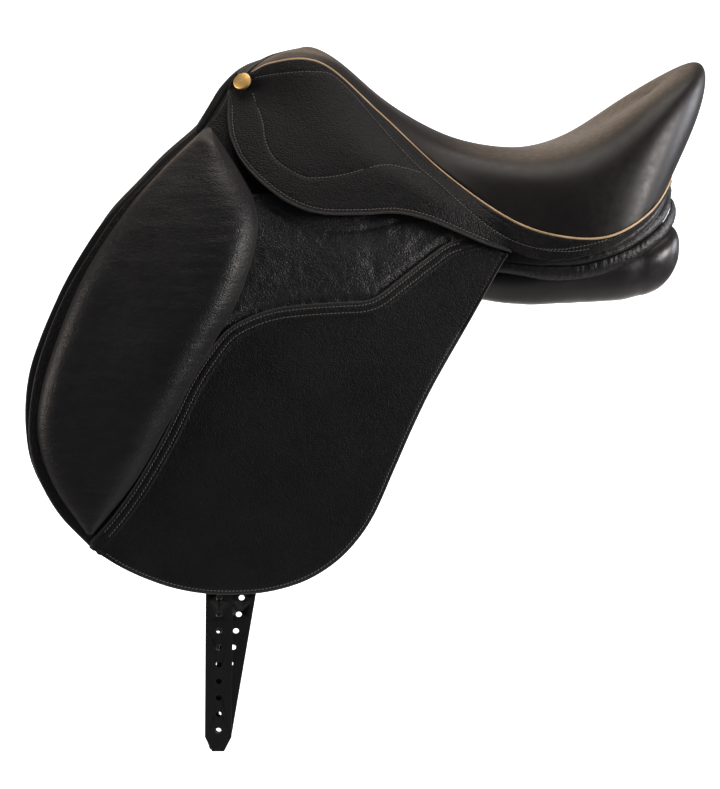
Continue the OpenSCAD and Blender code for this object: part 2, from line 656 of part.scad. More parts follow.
// Pommel facing strip in front of the seat edge and down to the sweat flaps, and the studs
function face_pt(x, y, z) =
    [seat_x(x), -y * twist_half / 54 - side_move(z) * smooth((210 - z) / 30), z + pommel_z - 242];
face_out = [
    face_pt(-205, 0, 237), face_pt(-217, 11, 235), face_pt(-230, 19, 230), face_pt(-244, 27, 223),
    face_pt(-256, 34, 215), face_pt(-269, 40, 201), face_pt(-278, 47, 187), face_pt(-286, 52, 174),
    face_pt(-295, 57, 161)];
face_side = [face_pt(-254, 46, 207), face_pt(-262, 49, 192), face_pt(-273, 56, 176), face_pt(-284, 62, 161)];
function face_half(k) =
    k < 0.5 ? flip_y(seat_at(0, 2 * k)) + [-1, 0, -0.6] : spline(face_side, 2 * k - 1);
function face_edge(s) = s < 0 ? flip_y(spline(face_out, -s)) : spline(face_out, s);
function face_at(s, v, d) =
    let (
        e = face_edge(s),
        i = s < 0 ? flip_y(face_half(-s)) : face_half(s),
        n = unit(cross(face_edge(min(1, s + 0.03)) - face_edge(max(-1, s - 0.03)), i - e))
    )
    mix(e, i, v) - d * n;
module pommel_facing() {
    s = [for (i = [-16:16]) i / 16];
    color("#2a2828") sheet(
        [for (k = s) [for (v = [0, 0.5, 1]) face_at(k, v, 0)]],
        [for (k = s) [for (v = [0, 0.5, 1]) face_at(k, v, 3)]]);
}
// the stud lies flat on the front end of the skirt band
stud_p = band_at(0.015, 0.2, skirt_t);
stud_n = unit(cross(
    band_at(0.02, 0.5, skirt_t) - band_at(0.02, 0, skirt_t), band_at(0.045, 0.25, skirt_t) - band_at(0, 0.25, skirt_t)));
module stud() {
    color("goldenrod") translate(stud_p + stud_lift * stud_n)
        rotate([0, acos(stud_n[2]), atan2(stud_n[1], stud_n[0])]) intersection() {
            cylinder(d = stud_d, h = stud_h, $fn = 64);
            translate([0, 0, stud_h - 40]) sphere(r = 40, $fn = 180);
        }
}

tree_head();
tree_rails();
tree_cheek();  // tree_cheek_left
mirror([0, 1, 0]) tree_cheek();  // tree_cheek_right
gullet_plate();
gullet_lining();
spring_steel();  // spring_steel_left
mirror([0, 1, 0]) spring_steel();  // spring_steel_right
girth_web();
seat_web();
seat_foam();
seat_cover();
seat_welt();
pommel_facing();
stud();  // stud_left
mirror([0, 1, 0]) stud();  // stud_right
skirt_band();  // skirt_band_left
mirror([0, 1, 0]) skirt_band();  // skirt_band_right
skirt();  // skirt_left
mirror([0, 1, 0]) skirt();  // skirt_right
flap();  // flap_left
mirror([0, 1, 0]) flap();  // flap_right
flap_margin();  // flap_margin_left
mirror([0, 1, 0]) flap_margin();  // flap_margin_right
flap_apron();  // flap_apron_left
mirror([0, 1, 0]) flap_apron();  // flap_apron_right
flap_insert();  // flap_insert_left
mirror([0, 1, 0]) flap_insert();  // flap_insert_right
thigh_block();  // thigh_block_left
mirror([0, 1, 0]) thigh_block();  // thigh_block_right
sweat_flap();  // sweat_flap_left
mirror([0, 1, 0]) sweat_flap();  // sweat_flap_right
billet_front();  // billet_front_left
mirror([0, 1, 0]) billet_front();  // billet_front_right
billet_rear();  // billet_rear_left
mirror([0, 1, 0]) billet_rear();  // billet_rear_right
point_strap();  // point_strap_left
mirror([0, 1, 0]) point_strap();  // point_strap_right
web_drop();  // web_drop_left
mirror([0, 1, 0]) web_drop();  // web_drop_right
billet_keeper();  // billet_keeper_left
mirror([0, 1, 0]) billet_keeper();  // billet_keeper_right
stirrup_bar();  // stirrup_bar_left
mirror([0, 1, 0]) stirrup_bar();  // stirrup_bar_right
catch_pin();  // catch_pin_left
mirror([0, 1, 0]) catch_pin();  // catch_pin_right
stirrup_catch();  // stirrup_catch_left
mirror([0, 1, 0]) stirrup_catch();  // stirrup_catch_right
stirrup_bar_rivets();  // bar_rivets_left
mirror([0, 1, 0]) stirrup_bar_rivets();  // bar_rivets_right
panel();  // panel_left
mirror([0, 1, 0]) panel();  // panel_right
panel_gusset();  // panel_gusset_left
mirror([0, 1, 0]) panel_gusset();  // panel_gusset_right
cantle_facing();
panel_bridge();
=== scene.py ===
import json
import math
import bmesh
import bpy
import numpy as np
from numpy import concatenate as join
from numpy.linalg import norm
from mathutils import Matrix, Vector


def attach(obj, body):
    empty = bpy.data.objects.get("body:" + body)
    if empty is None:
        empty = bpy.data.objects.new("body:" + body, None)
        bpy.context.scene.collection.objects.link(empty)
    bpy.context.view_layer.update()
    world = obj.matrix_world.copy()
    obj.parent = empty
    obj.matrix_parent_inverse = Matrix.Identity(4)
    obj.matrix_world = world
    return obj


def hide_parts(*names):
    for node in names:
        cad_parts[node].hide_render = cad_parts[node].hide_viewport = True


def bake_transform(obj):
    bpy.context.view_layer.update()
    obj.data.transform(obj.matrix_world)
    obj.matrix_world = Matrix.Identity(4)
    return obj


# Dressage saddle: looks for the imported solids. Shapes are worked out in mm in the frame of the solids.
# X runs to the cantle, Z up; the near side (-Y) is drawn and the off side has its Y turned over.
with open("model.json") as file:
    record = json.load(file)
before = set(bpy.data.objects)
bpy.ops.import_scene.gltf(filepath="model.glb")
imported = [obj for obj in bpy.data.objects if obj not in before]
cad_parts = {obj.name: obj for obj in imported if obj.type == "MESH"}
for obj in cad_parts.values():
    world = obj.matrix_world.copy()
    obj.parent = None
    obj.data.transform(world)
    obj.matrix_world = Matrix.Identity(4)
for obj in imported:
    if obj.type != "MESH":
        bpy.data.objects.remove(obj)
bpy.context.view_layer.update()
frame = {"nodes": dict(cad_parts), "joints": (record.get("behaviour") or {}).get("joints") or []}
cadNodes = frame["nodes"]
joints = {j["name"]: j for j in frame["joints"]}
mm = 0.001
sides = {"left": 1, "right": -1}
print("frame loaded,", len(cadNodes), "solids")


# small maths on whole arrays
def smooth(t):
    c = np.clip(t, 0, 1)
    return c * c * (3 - 2 * c)


def unit(v):
    return v / np.maximum(norm(v, axis=-1, keepdims=True), 1e-9)


def past(x, span):  # 0 up to span[0], then up to 1 over span[1]
    return smooth((x - span[0]) / span[1])


def mix(a, b, t):
    return a + (b - a) * t


def between(a, b, v):  # grid from line a to line b; v has one row of shares, or one for each point
    return mix(a[:, None], b[:, None], np.atleast_2d(v)[..., None])


def turnY(p):
    return np.asarray(p, float) * [1, -1, 1]


def spline(points, t):  # Catmull-Rom through points along their first axis, t from 0 to 1
    p = np.asarray(points, float)
    n = len(p) - 1
    q = join([[2 * p[0] - p[1]], p, [2 * p[-1] - p[-2]]])
    f = np.clip(np.asarray(t, float), 0, 1) * n
    i = np.minimum(f.astype(int), n - 1)
    s = (f - i).reshape(f.shape + (1,) * (p.ndim - 1))
    a, b, c, d = q[i], q[i + 1], q[i + 2], q[i + 3]
    return b + 0.5 * s * (c - a + s * (2 * a - 5 * b + 4 * c - d + s * (3 * (b - c) + d - a)))


def noise(p, cell, seed=0):  # smooth value noise from -1 to 1, cell is its size in mm along each axis
    q = np.asarray(p, float) / np.asarray(cell, float)
    i = np.floor(q).astype(np.int64)
    f = smooth(q - i)
    total = np.zeros(q.shape[:-1])
    for corner in np.ndindex(2, 2, 2):
        k = i + np.array(corner)
        h = k[..., 0] * 73856093 ^ k[..., 1] * 19349663 ^ k[..., 2] * 83492791 ^ (seed + 1) * 40503
        h = (h ^ (h >> 13)) * 1274126177 & 0xFFFFFFFF
        value = ((h ^ (h >> 16)) & 0xFFFF) / 32767.5 - 1
        total += value * np.prod(np.where(corner, f, 1 - f), axis=-1)
    return total


def wayTo(points, path):  # shortest distance from points (..., 2) to a polyline (n, 2)
    p = np.asarray(points, float)[..., None, :]
    a, b = path[:-1], path[1:]
    d = b - a
    t = np.clip(((p - a) * d).sum(-1) / np.maximum((d * d).sum(-1), 1e-9), 0, 1)
    return norm(p - a - t[..., None] * d, axis=-1).min(-1)


grooves = {  # width and depth of a sewn or creased line, mm
    "seam": (1.5, 0.5), "crease": (0.6, 0.35), "edgeRow": (0.9, 0.45), "bandRow": (1.3, 0.5),
    "foldRow": (0.9, 0.5), "rearRow": (1.1, 0.5), "fold": (2.2, 1.1),
}


def groove(d, place, kind):  # the line pulls the leather in, as a bell curve over the distance d
    width, depth = grooves[kind]
    return -depth * np.exp(-(((d - place) / width) ** 2))


def gridNormals(p, outward):
    n = unit(np.cross(np.gradient(p, axis=0), np.gradient(p, axis=1)))
    return n * (1 if (n * outward).sum(-1).mean() > 0 else -1)


def normalsOut(p, out):  # normals of a grid, each turned to the side of out
    n = unit(np.cross(np.gradient(p, axis=0), np.gradient(p, axis=1)))
    return n * np.sign((n * out).sum(-1, keepdims=True))


def soften(p, times, over):  # evens a grid out along both axes; over makes the row past the last one
    for _ in range(times):
        q = join([p, over(p[-2:-1])])
        q[1:-1] = (q[:-2] + 2 * q[1:-1] + q[2:]) / 4
        p = q[:-1].copy()
        p[:, 1:-1] = (p[:, :-2] + 2 * p[:, 1:-1] + p[:, 2:]) / 4
    return p


def borderWay(p, borders):  # arc length in from the named edges of a grid (s: rows, v: columns)
    d = np.full(p.shape[:2], 1e3)
    for axis, low, high in ((0, "s0", "s1"), (1, "v0", "v1")):
        step = norm(np.diff(p, axis=axis), axis=-1)
        run = np.insert(np.cumsum(step, axis), 0, 0, axis)
        if low in borders:
            d = np.minimum(d, run)
        if high in borders:
            d = np.minimum(d, np.take(run, [-1], axis) - run)
    return d


def roundSteps(r, count=4):  # steps that sample a quarter round of radius r evenly
    return r * (1 - np.cos(np.linspace(0, np.pi / 2, count + 1)))


def fanRows(width, near, count):  # v from 0 to 1 for columns of that width: near in mm first, then even
    near = np.asarray(near, float)
    width = np.asarray(width, float)[:, None]
    first = near * np.minimum(1, width / (2.2 * near[-1])) / width
    rest = mix(first[:, -1:], 1, np.linspace(0, 1, count + 1)[1:])
    return join([first, rest], axis=1)


def fanTo(head, rim, near, count):  # grid from head to rim, with close rows at the rim
    width = norm(rim - head, axis=1)
    return between(head, rim, 1 - fanRows(width, near, count)[:, ::-1])


def bothEnds(count, near, length):  # even steps with close ones at both ends, for rounded ends
    n = np.asarray(near) / length
    return join([n, np.linspace(n[-1], 1 - n[-1], count)[1:-1], 1 - n[::-1]])


# turning arrays into pieces
def gridQuads(m, n):  # numbers of a grid's points and of the corners of its faces
    i = np.arange(m * n).reshape(m, n)
    return i, np.stack([i[:-1, :-1], i[1:, :-1], i[1:, 1:], i[:-1, 1:]], -1)


def addPiece(name, grids, material, flip=1, edge=None, sharp=50):
    verts, faces, start = [], [], 0
    for g in grids:
        faces.append(start + gridQuads(*g.shape[:2])[1].reshape(-1, 4))
        verts.append(g.reshape(-1, 3))
        start += len(verts[-1])
    return meshPiece(name, join(verts), join(faces), material, flip, edge, sharp)


def meshPiece(name, verts, faces, material, flip=1, edge=None, sharp=50):
    mesh = bpy.data.meshes.new(name)
    mesh.from_pydata((verts * [1, flip, 1] * mm).tolist(), [], faces.tolist())
    if edge is not None:  # 1 on an edge of the leather, 0 inside: drives the worn dye and the painted edge highlight
        wearAndHighlightShare = mesh.attributes.new("edge", "FLOAT", "POINT")
        wearAndHighlightShare.data.foreach_set("value", edge.astype(np.float32).ravel())
    work = bmesh.new()
    work.from_mesh(mesh)
    bmesh.ops.remove_doubles(work, verts=work.verts, dist=2e-6)
    bmesh.ops.dissolve_degenerate(work, edges=work.edges, dist=1e-7)
    bmesh.ops.recalc_face_normals(work, faces=work.faces)
    work.to_mesh(mesh)
    work.free()
    mesh.polygons.foreach_set("use_smooth", np.ones(len(mesh.polygons), bool))
    mesh.set_sharp_from_angle(angle=math.radians(sharp))
    mesh.materials.append(material)
    piece = bpy.data.objects.new(name, mesh)
    bpy.context.scene.collection.objects.link(piece)
    return piece


def roundOver(way, r):  # how far a rounded edge falls, this way in from it
    fall = 1 - np.clip(way / r, 0, 1)
    return r * (1 - np.sqrt(1 - fall * fall))[..., None]


# A sheet of leather: the outer face is a grid, the inner one lies a thickness below it along the normals.
# Named borders are rounded over half the thickness; cuts close an edge square.
def sheetGrids(outer, thickness, borders, outward, cuts=()):
    n = gridNormals(outer, outward)
    r = thickness / 2
    roundOff = roundOver(borderWay(outer, borders), r)
    grids = [outer - n * roundOff, outer - n * (thickness - roundOff)]
    middle = outer - n * r
    for cut in cuts:
        axis, place = (0, 0 if cut == "s0" else -1) if cut[0] == "s" else (1, 0 if cut == "v0" else -1)
        row = np.take(middle, [place], axis)
        pairs = [[row, g] if place == 0 else [g, row] for g in (*grids, middle)]
        *grids, middle = [join(pair, axis) for pair in pairs]
    return grids


allRound = ("s0", "s1", "v0", "v1")
nearSide = (0, -1, 0.3)
wearAndHighlightWay = {"sheet": 1.6, "flap": 1.4, "pad": 4}  # mm in from an edge, over which the worn dye and the painted edge highlight fade


def addSheet(name, outer, thickness, borders, material, flip, outward=nearSide, cuts=()):
    grids = sheetGrids(outer, thickness, borders, outward, cuts)
    # the edge mask carries the worn dye and the painted edge highlight
    edge = [np.exp(-borderWay(g, borders) / wearAndHighlightWay["sheet"]) for g in grids]
    return addPiece(name, grids, material, flip, join([e.ravel() for e in edge]))


def layOn(grid, normals, pathXZ, reach=1.6):  # a path in X and Z laid on a grid that faces the side
    flat = grid.reshape(-1, 3)
    lo, hi = pathXZ.min(0) - 6, pathXZ.max(0) + 6
    keep = ((flat[:, [0, 2]] > lo) & (flat[:, [0, 2]] < hi)).all(1)
    near, nearN = flat[keep], normals.reshape(-1, 3)[keep]
    d2 = ((pathXZ[:, None, :] - near[None, :, [0, 2]]) ** 2).sum(-1)
    w = np.exp(-(d2 - d2.min(1, keepdims=True)) / (2 * reach * reach))
    w /= w.sum(1, keepdims=True)
    return np.stack([pathXZ[:, 0], w @ near[:, 1], pathXZ[:, 1]], 1), unit(w @ nearN)


def wayAlong(path):  # length run at each point of a polyline
    return np.insert(np.cumsum(norm(np.diff(path, axis=0), axis=1)), 0, 0)


def pickAt(path, run, at):  # the points of a polyline at these lengths
    return np.stack([np.interp(at, run, path[:, k]) for k in range(path.shape[1])], 1)


def evenSteps(path, step=1):  # points every step mm along a polyline
    run = wayAlong(path)
    return pickAt(path, run, np.arange(0, run[-1], step))


stitch = {"pitch": 3.4, "length": 2.5, "thick": 0.36, "slant": 12, "corners": 6}  # mm, degrees


# Thread: one small spindle per stitch, five rings of a few corners, turned a little off the line of sewing.
def addStitches(name, rows, material, flip):
    ring = np.array([-1, -0.72, 0, 0.72, 1]) * stitch["length"] / 2
    thick = np.array([0.3, 0.9, 1, 0.9, 0.3]) * stitch["thick"]
    corners = stitch["corners"]
    a = np.arange(corners) * 2 * np.pi / corners
    base = np.stack([np.repeat(ring, corners), *(np.outer(thick, f(a)).ravel() for f in (np.cos, np.sin))], 1)
    i = np.arange(len(base) - corners)
    j = i - i % corners + (i + 1) % corners
    quads = np.stack([i, j, j + corners, i + corners], 1)
    verts, faces, start = [], [], 0
    for points, normals in rows:
        at = evenSteps(np.hstack([points, normals]), stitch["pitch"])
        p, n = at[1:-1, :3], unit(at[1:-1, 3:])
        t = unit(at[2:, :3] - at[:-2, :3])
        b = unit(np.cross(n, t))
        s = math.radians(stitch["slant"])
        axes = np.stack([t * math.cos(s) + b * math.sin(s), b * math.cos(s) - t * math.sin(s), n], 1)
        verts.append((p[:, None, :] + np.einsum("kc,ncd->nkd", base, axes)).reshape(-1, 3))
        faces.append((quads[None] + len(base) * np.arange(len(p))[:, None, None]).reshape(-1, 4) + start)
        start += len(base) * len(p)
    return meshPiece(name, join(verts), join(faces), material, flip)


# Cord: a round profile carried along a path.
def tubeGrid(path, r, count=12, up=(0, 0, 1)):
    t = unit(np.gradient(path, axis=0))
    x = unit(np.cross(t, up))
    y = np.cross(x, t)
    a = np.linspace(0, 2 * np.pi, count + 1)
    r = np.broadcast_to(np.asarray(r, float), (len(path),))[:, None, None]
    ca, sa = np.cos(a)[None, :, None], np.sin(a)[None, :, None]
    return path[:, None] + r * (ca * x[:, None] + sa * y[:, None])


def hexColor(code):  # sRGB hex to linear
    c = np.array([int(code[k:k + 2], 16) for k in (1, 3, 5)]) / 255
    c = np.where(c <= 0.04045, c / 12.92, ((c + 0.055) / 1.055) ** 2.4)
    return (*c.tolist(), 1.0)


# materials
def addNode(tree, kind, settings=None, links=None):  # one node with its settings and its incoming links
    node = tree.nodes.new("ShaderNode" + kind)
    for key, value in (settings or {}).items():
        if isinstance(key, int) or key in node.inputs:
            node.inputs[key].default_value = value
        else:
            setattr(node, key, value)
    for key, source in (links or {}).items():  # a node stands for its first output
        socket = source if isinstance(source, bpy.types.NodeSocket) else source.outputs[0]
        tree.links.new(socket, node.inputs[key])
    return node


def newMaterial(name):
    material = bpy.data.materials.new(name)
    material.use_nodes = True
    tree = material.node_tree
    tree.nodes.clear()
    return material, tree, addNode(tree, "TexCoord").outputs["Object"]


def surfaced(material, settings, links):  # the surface shader and the output end every material
    tree = material.node_tree
    shader = addNode(tree, "BsdfPrincipled", settings, links)
    addNode(tree, "OutputMaterial", None, {"Surface": shader})
    return material


def clouds(tree, place, size, detail, **more):  # noise with patches of about that size in mm
    return addNode(tree, "TexNoise", {"Scale": 1000 / size, "Detail": detail, **more}, {"Vector": place})


spread = {"From Min": 0.3, "From Max": 0.7}  # a noise has nearly all its values between these
hideMake = {  # sizes and depths as shares of the grain or the crease; the pore's depth in mm
    "warpSize": 2.5, "warp": 0.6, "poreSize": 0.35, "pebbleDeep": 0.35, "creaseDeep": 0.2,
    "pore": 0.12, "poreDeep": 0.1, "shinier": 0.05, "duller": 0.07, "bloom": "#ffe2c4",
}


# Tanned and dyed hide. The eye sees pores and pebbles between fine creases, a dull wax sheen,
# and a lighter colour along the edges that is partly dye rubbed thinner and partly a painted highlight.
def hide(name, look):
    material, tree, place = newMaterial(name)
    make, grain, fold = hideMake, look["grain"], look["crease"]
    broad = clouds(tree, place, look["patch"], 3)
    warp = clouds(tree, place, grain * make["warpSize"], 2)
    bent = addNode(tree, "MixRGB", {"blend_type": "LINEAR_LIGHT", "Fac": grain * make["warp"] * mm},
                   {"Color1": place, "Color2": warp.outputs["Color"]})
    pebble = addNode(tree, "TexVoronoi", {"feature": "SMOOTH_F1", "Scale": 1000 / grain, "Smoothness": 0.35},
                     {"Vector": bent})
    pore = clouds(tree, place, grain * make["poreSize"], 2)
    drawnOut = addNode(tree, "Mapping", {"Scale": look.get("stretch", (1, 1, 1))}, {"Vector": bent})
    crease = clouds(tree, drawnOut, fold, 4, Roughness=0.6)
    edge = addNode(tree, "Attribute", {"attribute_name": "edge"})
    tone = addNode(tree, "MapRange", spread, {"Value": broad})
    dye = addNode(tree, "MixRGB", {"Color1": hexColor(look["dark"]), "Color2": hexColor(look["light"])},
                  {"Fac": tone})
    # along the edges the dye gives way to a lighter colour: partly worn dye, partly a painted highlight
    wearAndHighlightShare = addNode(tree, "Math", {"operation": "MULTIPLY", 1: look["wearAndHighlightShare"]}, {0: edge.outputs["Fac"]})
    colour = addNode(tree, "MixRGB", {"Color2": hexColor(look["wornAndHighlightColour"])}, {"Fac": wearAndHighlightShare, "Color1": dye})
    dull = {"To Min": look["rough"] - make["shinier"], "To Max": look["rough"] + make["duller"]}
    rough = addNode(tree, "MapRange", {**spread, **dull}, {"Value": crease})
    bumpA = addNode(tree, "Bump", {"Strength": look["pebble"], "Distance": grain * make["pebbleDeep"] * mm,
                                   "invert": True}, {"Height": pebble})
    bumpB = addNode(tree, "Bump", {"Strength": look["folds"], "Distance": fold * make["creaseDeep"] * mm},
                    {"Height": crease, "Normal": bumpA})
    bumpC = addNode(tree, "Bump", {"Strength": make["pore"], "Distance": make["poreDeep"] * mm},
                    {"Height": pore, "Normal": bumpB})
    settings = {"Specular IOR Level": look["gloss"], "IOR": 1.5, "Sheen Weight": look["sheen"],
                "Sheen Roughness": 0.5, "Sheen Tint": hexColor(make["bloom"])}
    return surfaced(material, settings, {"Base Color": colour, "Roughness": rough, "Normal": bumpC})


metalMake = {"cloud": 2.5, "drawn": 8, "bump": 0.15, "deep": 0.1, "shinier": 0.06, "duller": 0.1}  # mm


# Metal: cast brass or ground steel, polished, with fine scratches. scratch counts the streaks in a metre.
def metal(name, colour, dark, rough, scratch):
    material, tree, place = newMaterial(name)
    make = metalMake
    cloud = clouds(tree, place, make["cloud"], 3)
    across = scratch * make["drawn"]
    stretch = addNode(tree, "Mapping", {"Scale": (scratch, across, across)}, {"Vector": place})
    lines = clouds(tree, stretch, 1000, 2)
    tint = addNode(tree, "MixRGB", {"Color1": hexColor(dark), "Color2": hexColor(colour)}, {"Fac": cloud})
    gloss = addNode(tree, "MapRange", {"To Min": rough - make["shinier"], "To Max": rough + make["duller"]},
                    {"Value": lines})
    bump = addNode(tree, "Bump", {"Strength": make["bump"], "Distance": make["deep"] * mm}, {"Height": lines})
    return surfaced(material, {"Metallic": 1.0}, {"Base Color": tint, "Roughness": gloss, "Normal": bump})


# Woven cloth, thread and wood share one pattern: streaks of a given size in mm along each axis.
def streaked(name, dark, light, rough, cell, depth):
    material, tree, place = newMaterial(name)
    scaled = addNode(tree, "Mapping", {"Scale": tuple(1000 / c for c in cell)}, {"Vector": place})
    streak = clouds(tree, scaled, 1000, 3)
    level = addNode(tree, "MapRange", spread, {"Value": streak})
    tint = addNode(tree, "MixRGB", {"Color1": hexColor(dark), "Color2": hexColor(light)}, {"Fac": level})
    bump = addNode(tree, "Bump", {"Strength": 0.5, "Distance": depth * mm}, {"Height": streak})
    return surfaced(material, {"Roughness": rough}, {"Base Color": tint, "Normal": bump})


lookKeys = ("dark", "light", "wornAndHighlightColour", "wearAndHighlightShare", "rough", "gloss", "sheen", "patch", "grain", "pebble",
            "crease", "folds", "stretch")
# the light edge colours of pebbledHide and bridleStrap stand mostly for a painted highlight along the edges
looks = {  # sizes in mm
    "smoothCalf": ("#0d0c0c", "#121111", "#1f1e1e", 0.4, 0.42, 0.2, 0.03, 60, 0.9, 0.1, 6, 0.04),
    "pebbledHide": ("#0b0b0c", "#111112", "#5c5c5b", 0.7, 0.44, 0.14, 0.01, 45, 1.4, 1.0, 5, 0.3),
    "softNappa": ("#0c0c0d", "#121213", "#303031", 0.4, 0.4, 0.22, 0.01, 50, 1.2, 0.7, 3.2, 0.8,
                  (0.3, 0.3, 1)),
    "insertNappa": ("#0d0d0e", "#141415", "#262627", 0.3, 0.4, 0.3, 0.01, 50, 1.4, 1.0, 5, 0.6),
    "panelNappa": ("#0c0b0c", "#121112", "#222223", 0.3, 0.36, 0.3, 0.02, 50, 1.1, 0.18, 10, 0.12),
    "bridleStrap": ("#0a0a0a", "#101010", "#575755", 0.7, 0.4, 0.22, 0.02, 30, 0.8, 0.15, 5, 0.1),
    "tanPiping": ("#93795a", "#b69d7c", "#c7a87a", 0.0, 0.42, 0.35, 0.05, 25, 0.6, 0.2, 3, 0.15),
}
leather = {name: hide(name, dict(zip(lookKeys, row))) for name, row in looks.items()}
thread = streaked("linenThread", "#403e3c", "#6b6865", 0.7, (0.5, 0.5, 0.5), 0.1)
brass = metal("polishedBrass", "#eac583", "#c79a55", 0.42, 500)
steel = metal("groundSpringSteel", "#a5a6a8", "#7f8083", 0.34, 300)
beech = streaked("beechPly", "#8d6a43", "#b78e5f", 0.6, (40, 3, 3), 0.2)
webbing = streaked("wovenWebbing", "#a79c84", "#cfc6b0", 0.85, (1.2, 1.2, 6), 0.3)
print("materials made:", len(leather), "leathers, thread, brass, steel, beech and webbing")

# the side surface: concentric cylinders along X
hang = {"half": 181, "r": 950, "z": -285}


def sideY(z, r):
    return hang["half"] - hang["r"] + np.sqrt(r * r - (z - hang["z"]) ** 2)


def onSide(p, r):  # near-side point over p = (x, z) at radius r
    p = np.asarray(p, float)
    return np.stack([p[..., 0], -sideY(p[..., 1], r), p[..., 1]], -1)


def sideNormal(p, r):
    z = (np.asarray(p, float)[..., 1] - hang["z"]) / r
    return np.stack([np.zeros_like(z), -np.sqrt(1 - z * z), z], -1)


# seat: ribs from the centre line over crest and side to the welt, 11 stations from pommel to cantle
seat = {
    "spine": [(-198, 0, 240), (-182, 0, 242), (-155, 0, 227), (-112, 0, 190), (-58, 0, 159), (-10, 0, 147),
              (35, 0, 145), (72, 0, 150), (100, 0, 159), (116, 0, 166), (124, 0, 169)],
    "crest": [(-224, 22, 233), (-200, 30, 238), (-165, 30, 230), (-116, 34, 189), (-60, 50, 152),
              (-8, 74, 139), (37, 99, 141), (86, 106, 161), (140, 93, 203), (186, 57, 236), (204, 0, 250)],
    "side": [(-240, 37, 223), (-212, 43, 233), (-171, 44, 229), (-119, 50, 186), (-61, 72, 142),
             (-6, 103, 120), (39, 128, 112), (92, 131, 118), (147, 108, 150), (187, 64, 178), (204, 0, 190)],
    "welt": [(-252, 49, 211), (-222, 52, 227), (-176, 54, 226), (-122, 62, 180), (-62, 88, 124),
             (-5, 119, 84), (40, 138, 69), (86, 141, 69), (127, 122, 89), (157, 72, 115), (168, 0, 121)],
    "foam": 14, "floorEdge": (0, -6, -10), "sink": 0.12, "sinkAhead": 0.05, "round": 1.5, "long": 480,
    "rows": 150, "columns": 66, "soften": 26, "across": 200, "full": (0.38, 0.22), "fullRate": 0.25,
    "gather": (0.25, 5, 5), "wave": (0.25, 60, 25),  # height, size, and how far from the edge
    "tuck": 1.3, "tuckWay": 1.6, "piping": 1.05, "pipingWay": 1.7,
}


def overCentre(points, t):  # the curves cross the centre line square, behind the cantle
    p = np.asarray(points, float)
    return spline(join([p, [turnY(p[-2])]]), np.asarray(t) * 10 / 11)


def seatAt(t, v):  # t along the seat (rows), v from the centre line to the welt (columns)
    spine, crest, side, welt = (overCentre(seat[line], t) for line in ("spine", "crest", "side", "welt"))
    ribs = np.stack([turnY(crest), spine, crest, side, welt])
    return np.moveaxis(spline(ribs, 0.25 + 0.75 * np.asarray(v)), 0, 1)


def weltEdge(t):  # welt point, the way the cover leaves its edge, and the cover's normal there
    a = seatAt(t, [0.96, 1.0])
    way = unit(a[:, 1] - a[:, 0])
    along = np.gradient(a[:, 1], axis=0)
    return a[:, 1], way, unit(np.cross(along, way))


def onSeat(piece, slot, *nodes):  # moves with the seat and stands for these solids
    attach(piece, "seat")
    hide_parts(*nodes)


def buildSeat():
    t = join([roundSteps(seat["round"]) / seat["long"], np.linspace(0.004, 1, seat["rows"])])
    v = np.linspace(0, 1, seat["columns"])
    half = seatAt(t, v)
    top = join([turnY(half[:, :0:-1]), half], axis=1)
    rim = top[:, [0, -1]].copy()
    top = soften(top, seat["soften"], turnY)
    full = seat["fullRate"] * past(t, seat["full"])[:, None, None]  # the cantle is rounder than its ribs
    for _ in range(seat["across"]):
        top[:, 1:-1] = top[:, 1:-1] + full * (top[:, :-2] - 2 * top[:, 1:-1] + top[:, 2:])
    top[:, [0, -1]] = rim
    w = join([-v[:0:-1], v])[None, :]
    n = gridNormals(top, (0, 0, 1))
    n[-1, :, 1] = 0
    way = borderWay(top, ("s0", "v0", "v1"))
    high, size, reach = seat["gather"]  # beside the piping
    relief = high * noise(top, size, 3) * np.exp(-way / reach)
    high, size, reach = seat["wave"]
    relief = relief + high * noise(top, size, 5) * smooth(way / reach)
    top = top + n * (relief - seat["tuck"] * np.exp(-way / seat["tuckWay"]))[..., None]
    middle = overCentre(seat["spine"], t) - [0, 0, seat["foam"]]
    rimLow = overCentre(seat["welt"], t) + seat["floorEdge"]
    floorHalf = between(middle, rimLow, v)
    bottom = join([turnY(floorHalf[:, :0:-1]), floorHalf], axis=1)
    bottom[-1, :, 1] = 0
    sink = smooth((1 - np.abs(w)) / seat["sink"]) * smooth(t[:, None] / seat["sinkAhead"])
    bottom = mix(top, bottom, sink[..., None])
    edge = join([np.exp(-way / wearAndHighlightWay["pad"]).ravel(), np.zeros(way.size)])
    cushion = addPiece("seatCushion", [top, bottom], leather["smoothCalf"], 1, edge, sharp=70)
    onSeat(cushion, "seat_leather", "seat_cover", "seat_foam")
    t = np.linspace(0, 1, 240)
    edgePoint, way, _ = weltEdge(t)
    line = turnY(edgePoint + seat["pipingWay"] * way)
    line = join([line, turnY(line[-2::-1])])
    piping = addPiece("seatPiping", [tubeGrid(line, seat["piping"])], leather["tanPiping"])
    onSeat(piping, "piping_leather", "seat_welt")


buildSeat()
print("seat built")

# skirt: a band from the piping to the line where flap and skirt turn, its tail, and the lobe below
hinge = {"a": np.array([-254.0, 195.0]), "b": np.array([0.0, 52.0])}
hinge["way"] = hinge["b"] - hinge["a"]
hinge["down"] = unit(np.array([hinge["way"][1], -hinge["way"][0]]))


def hingeAt(u):
    return hinge["a"] + np.asarray(u)[..., None] * hinge["way"]


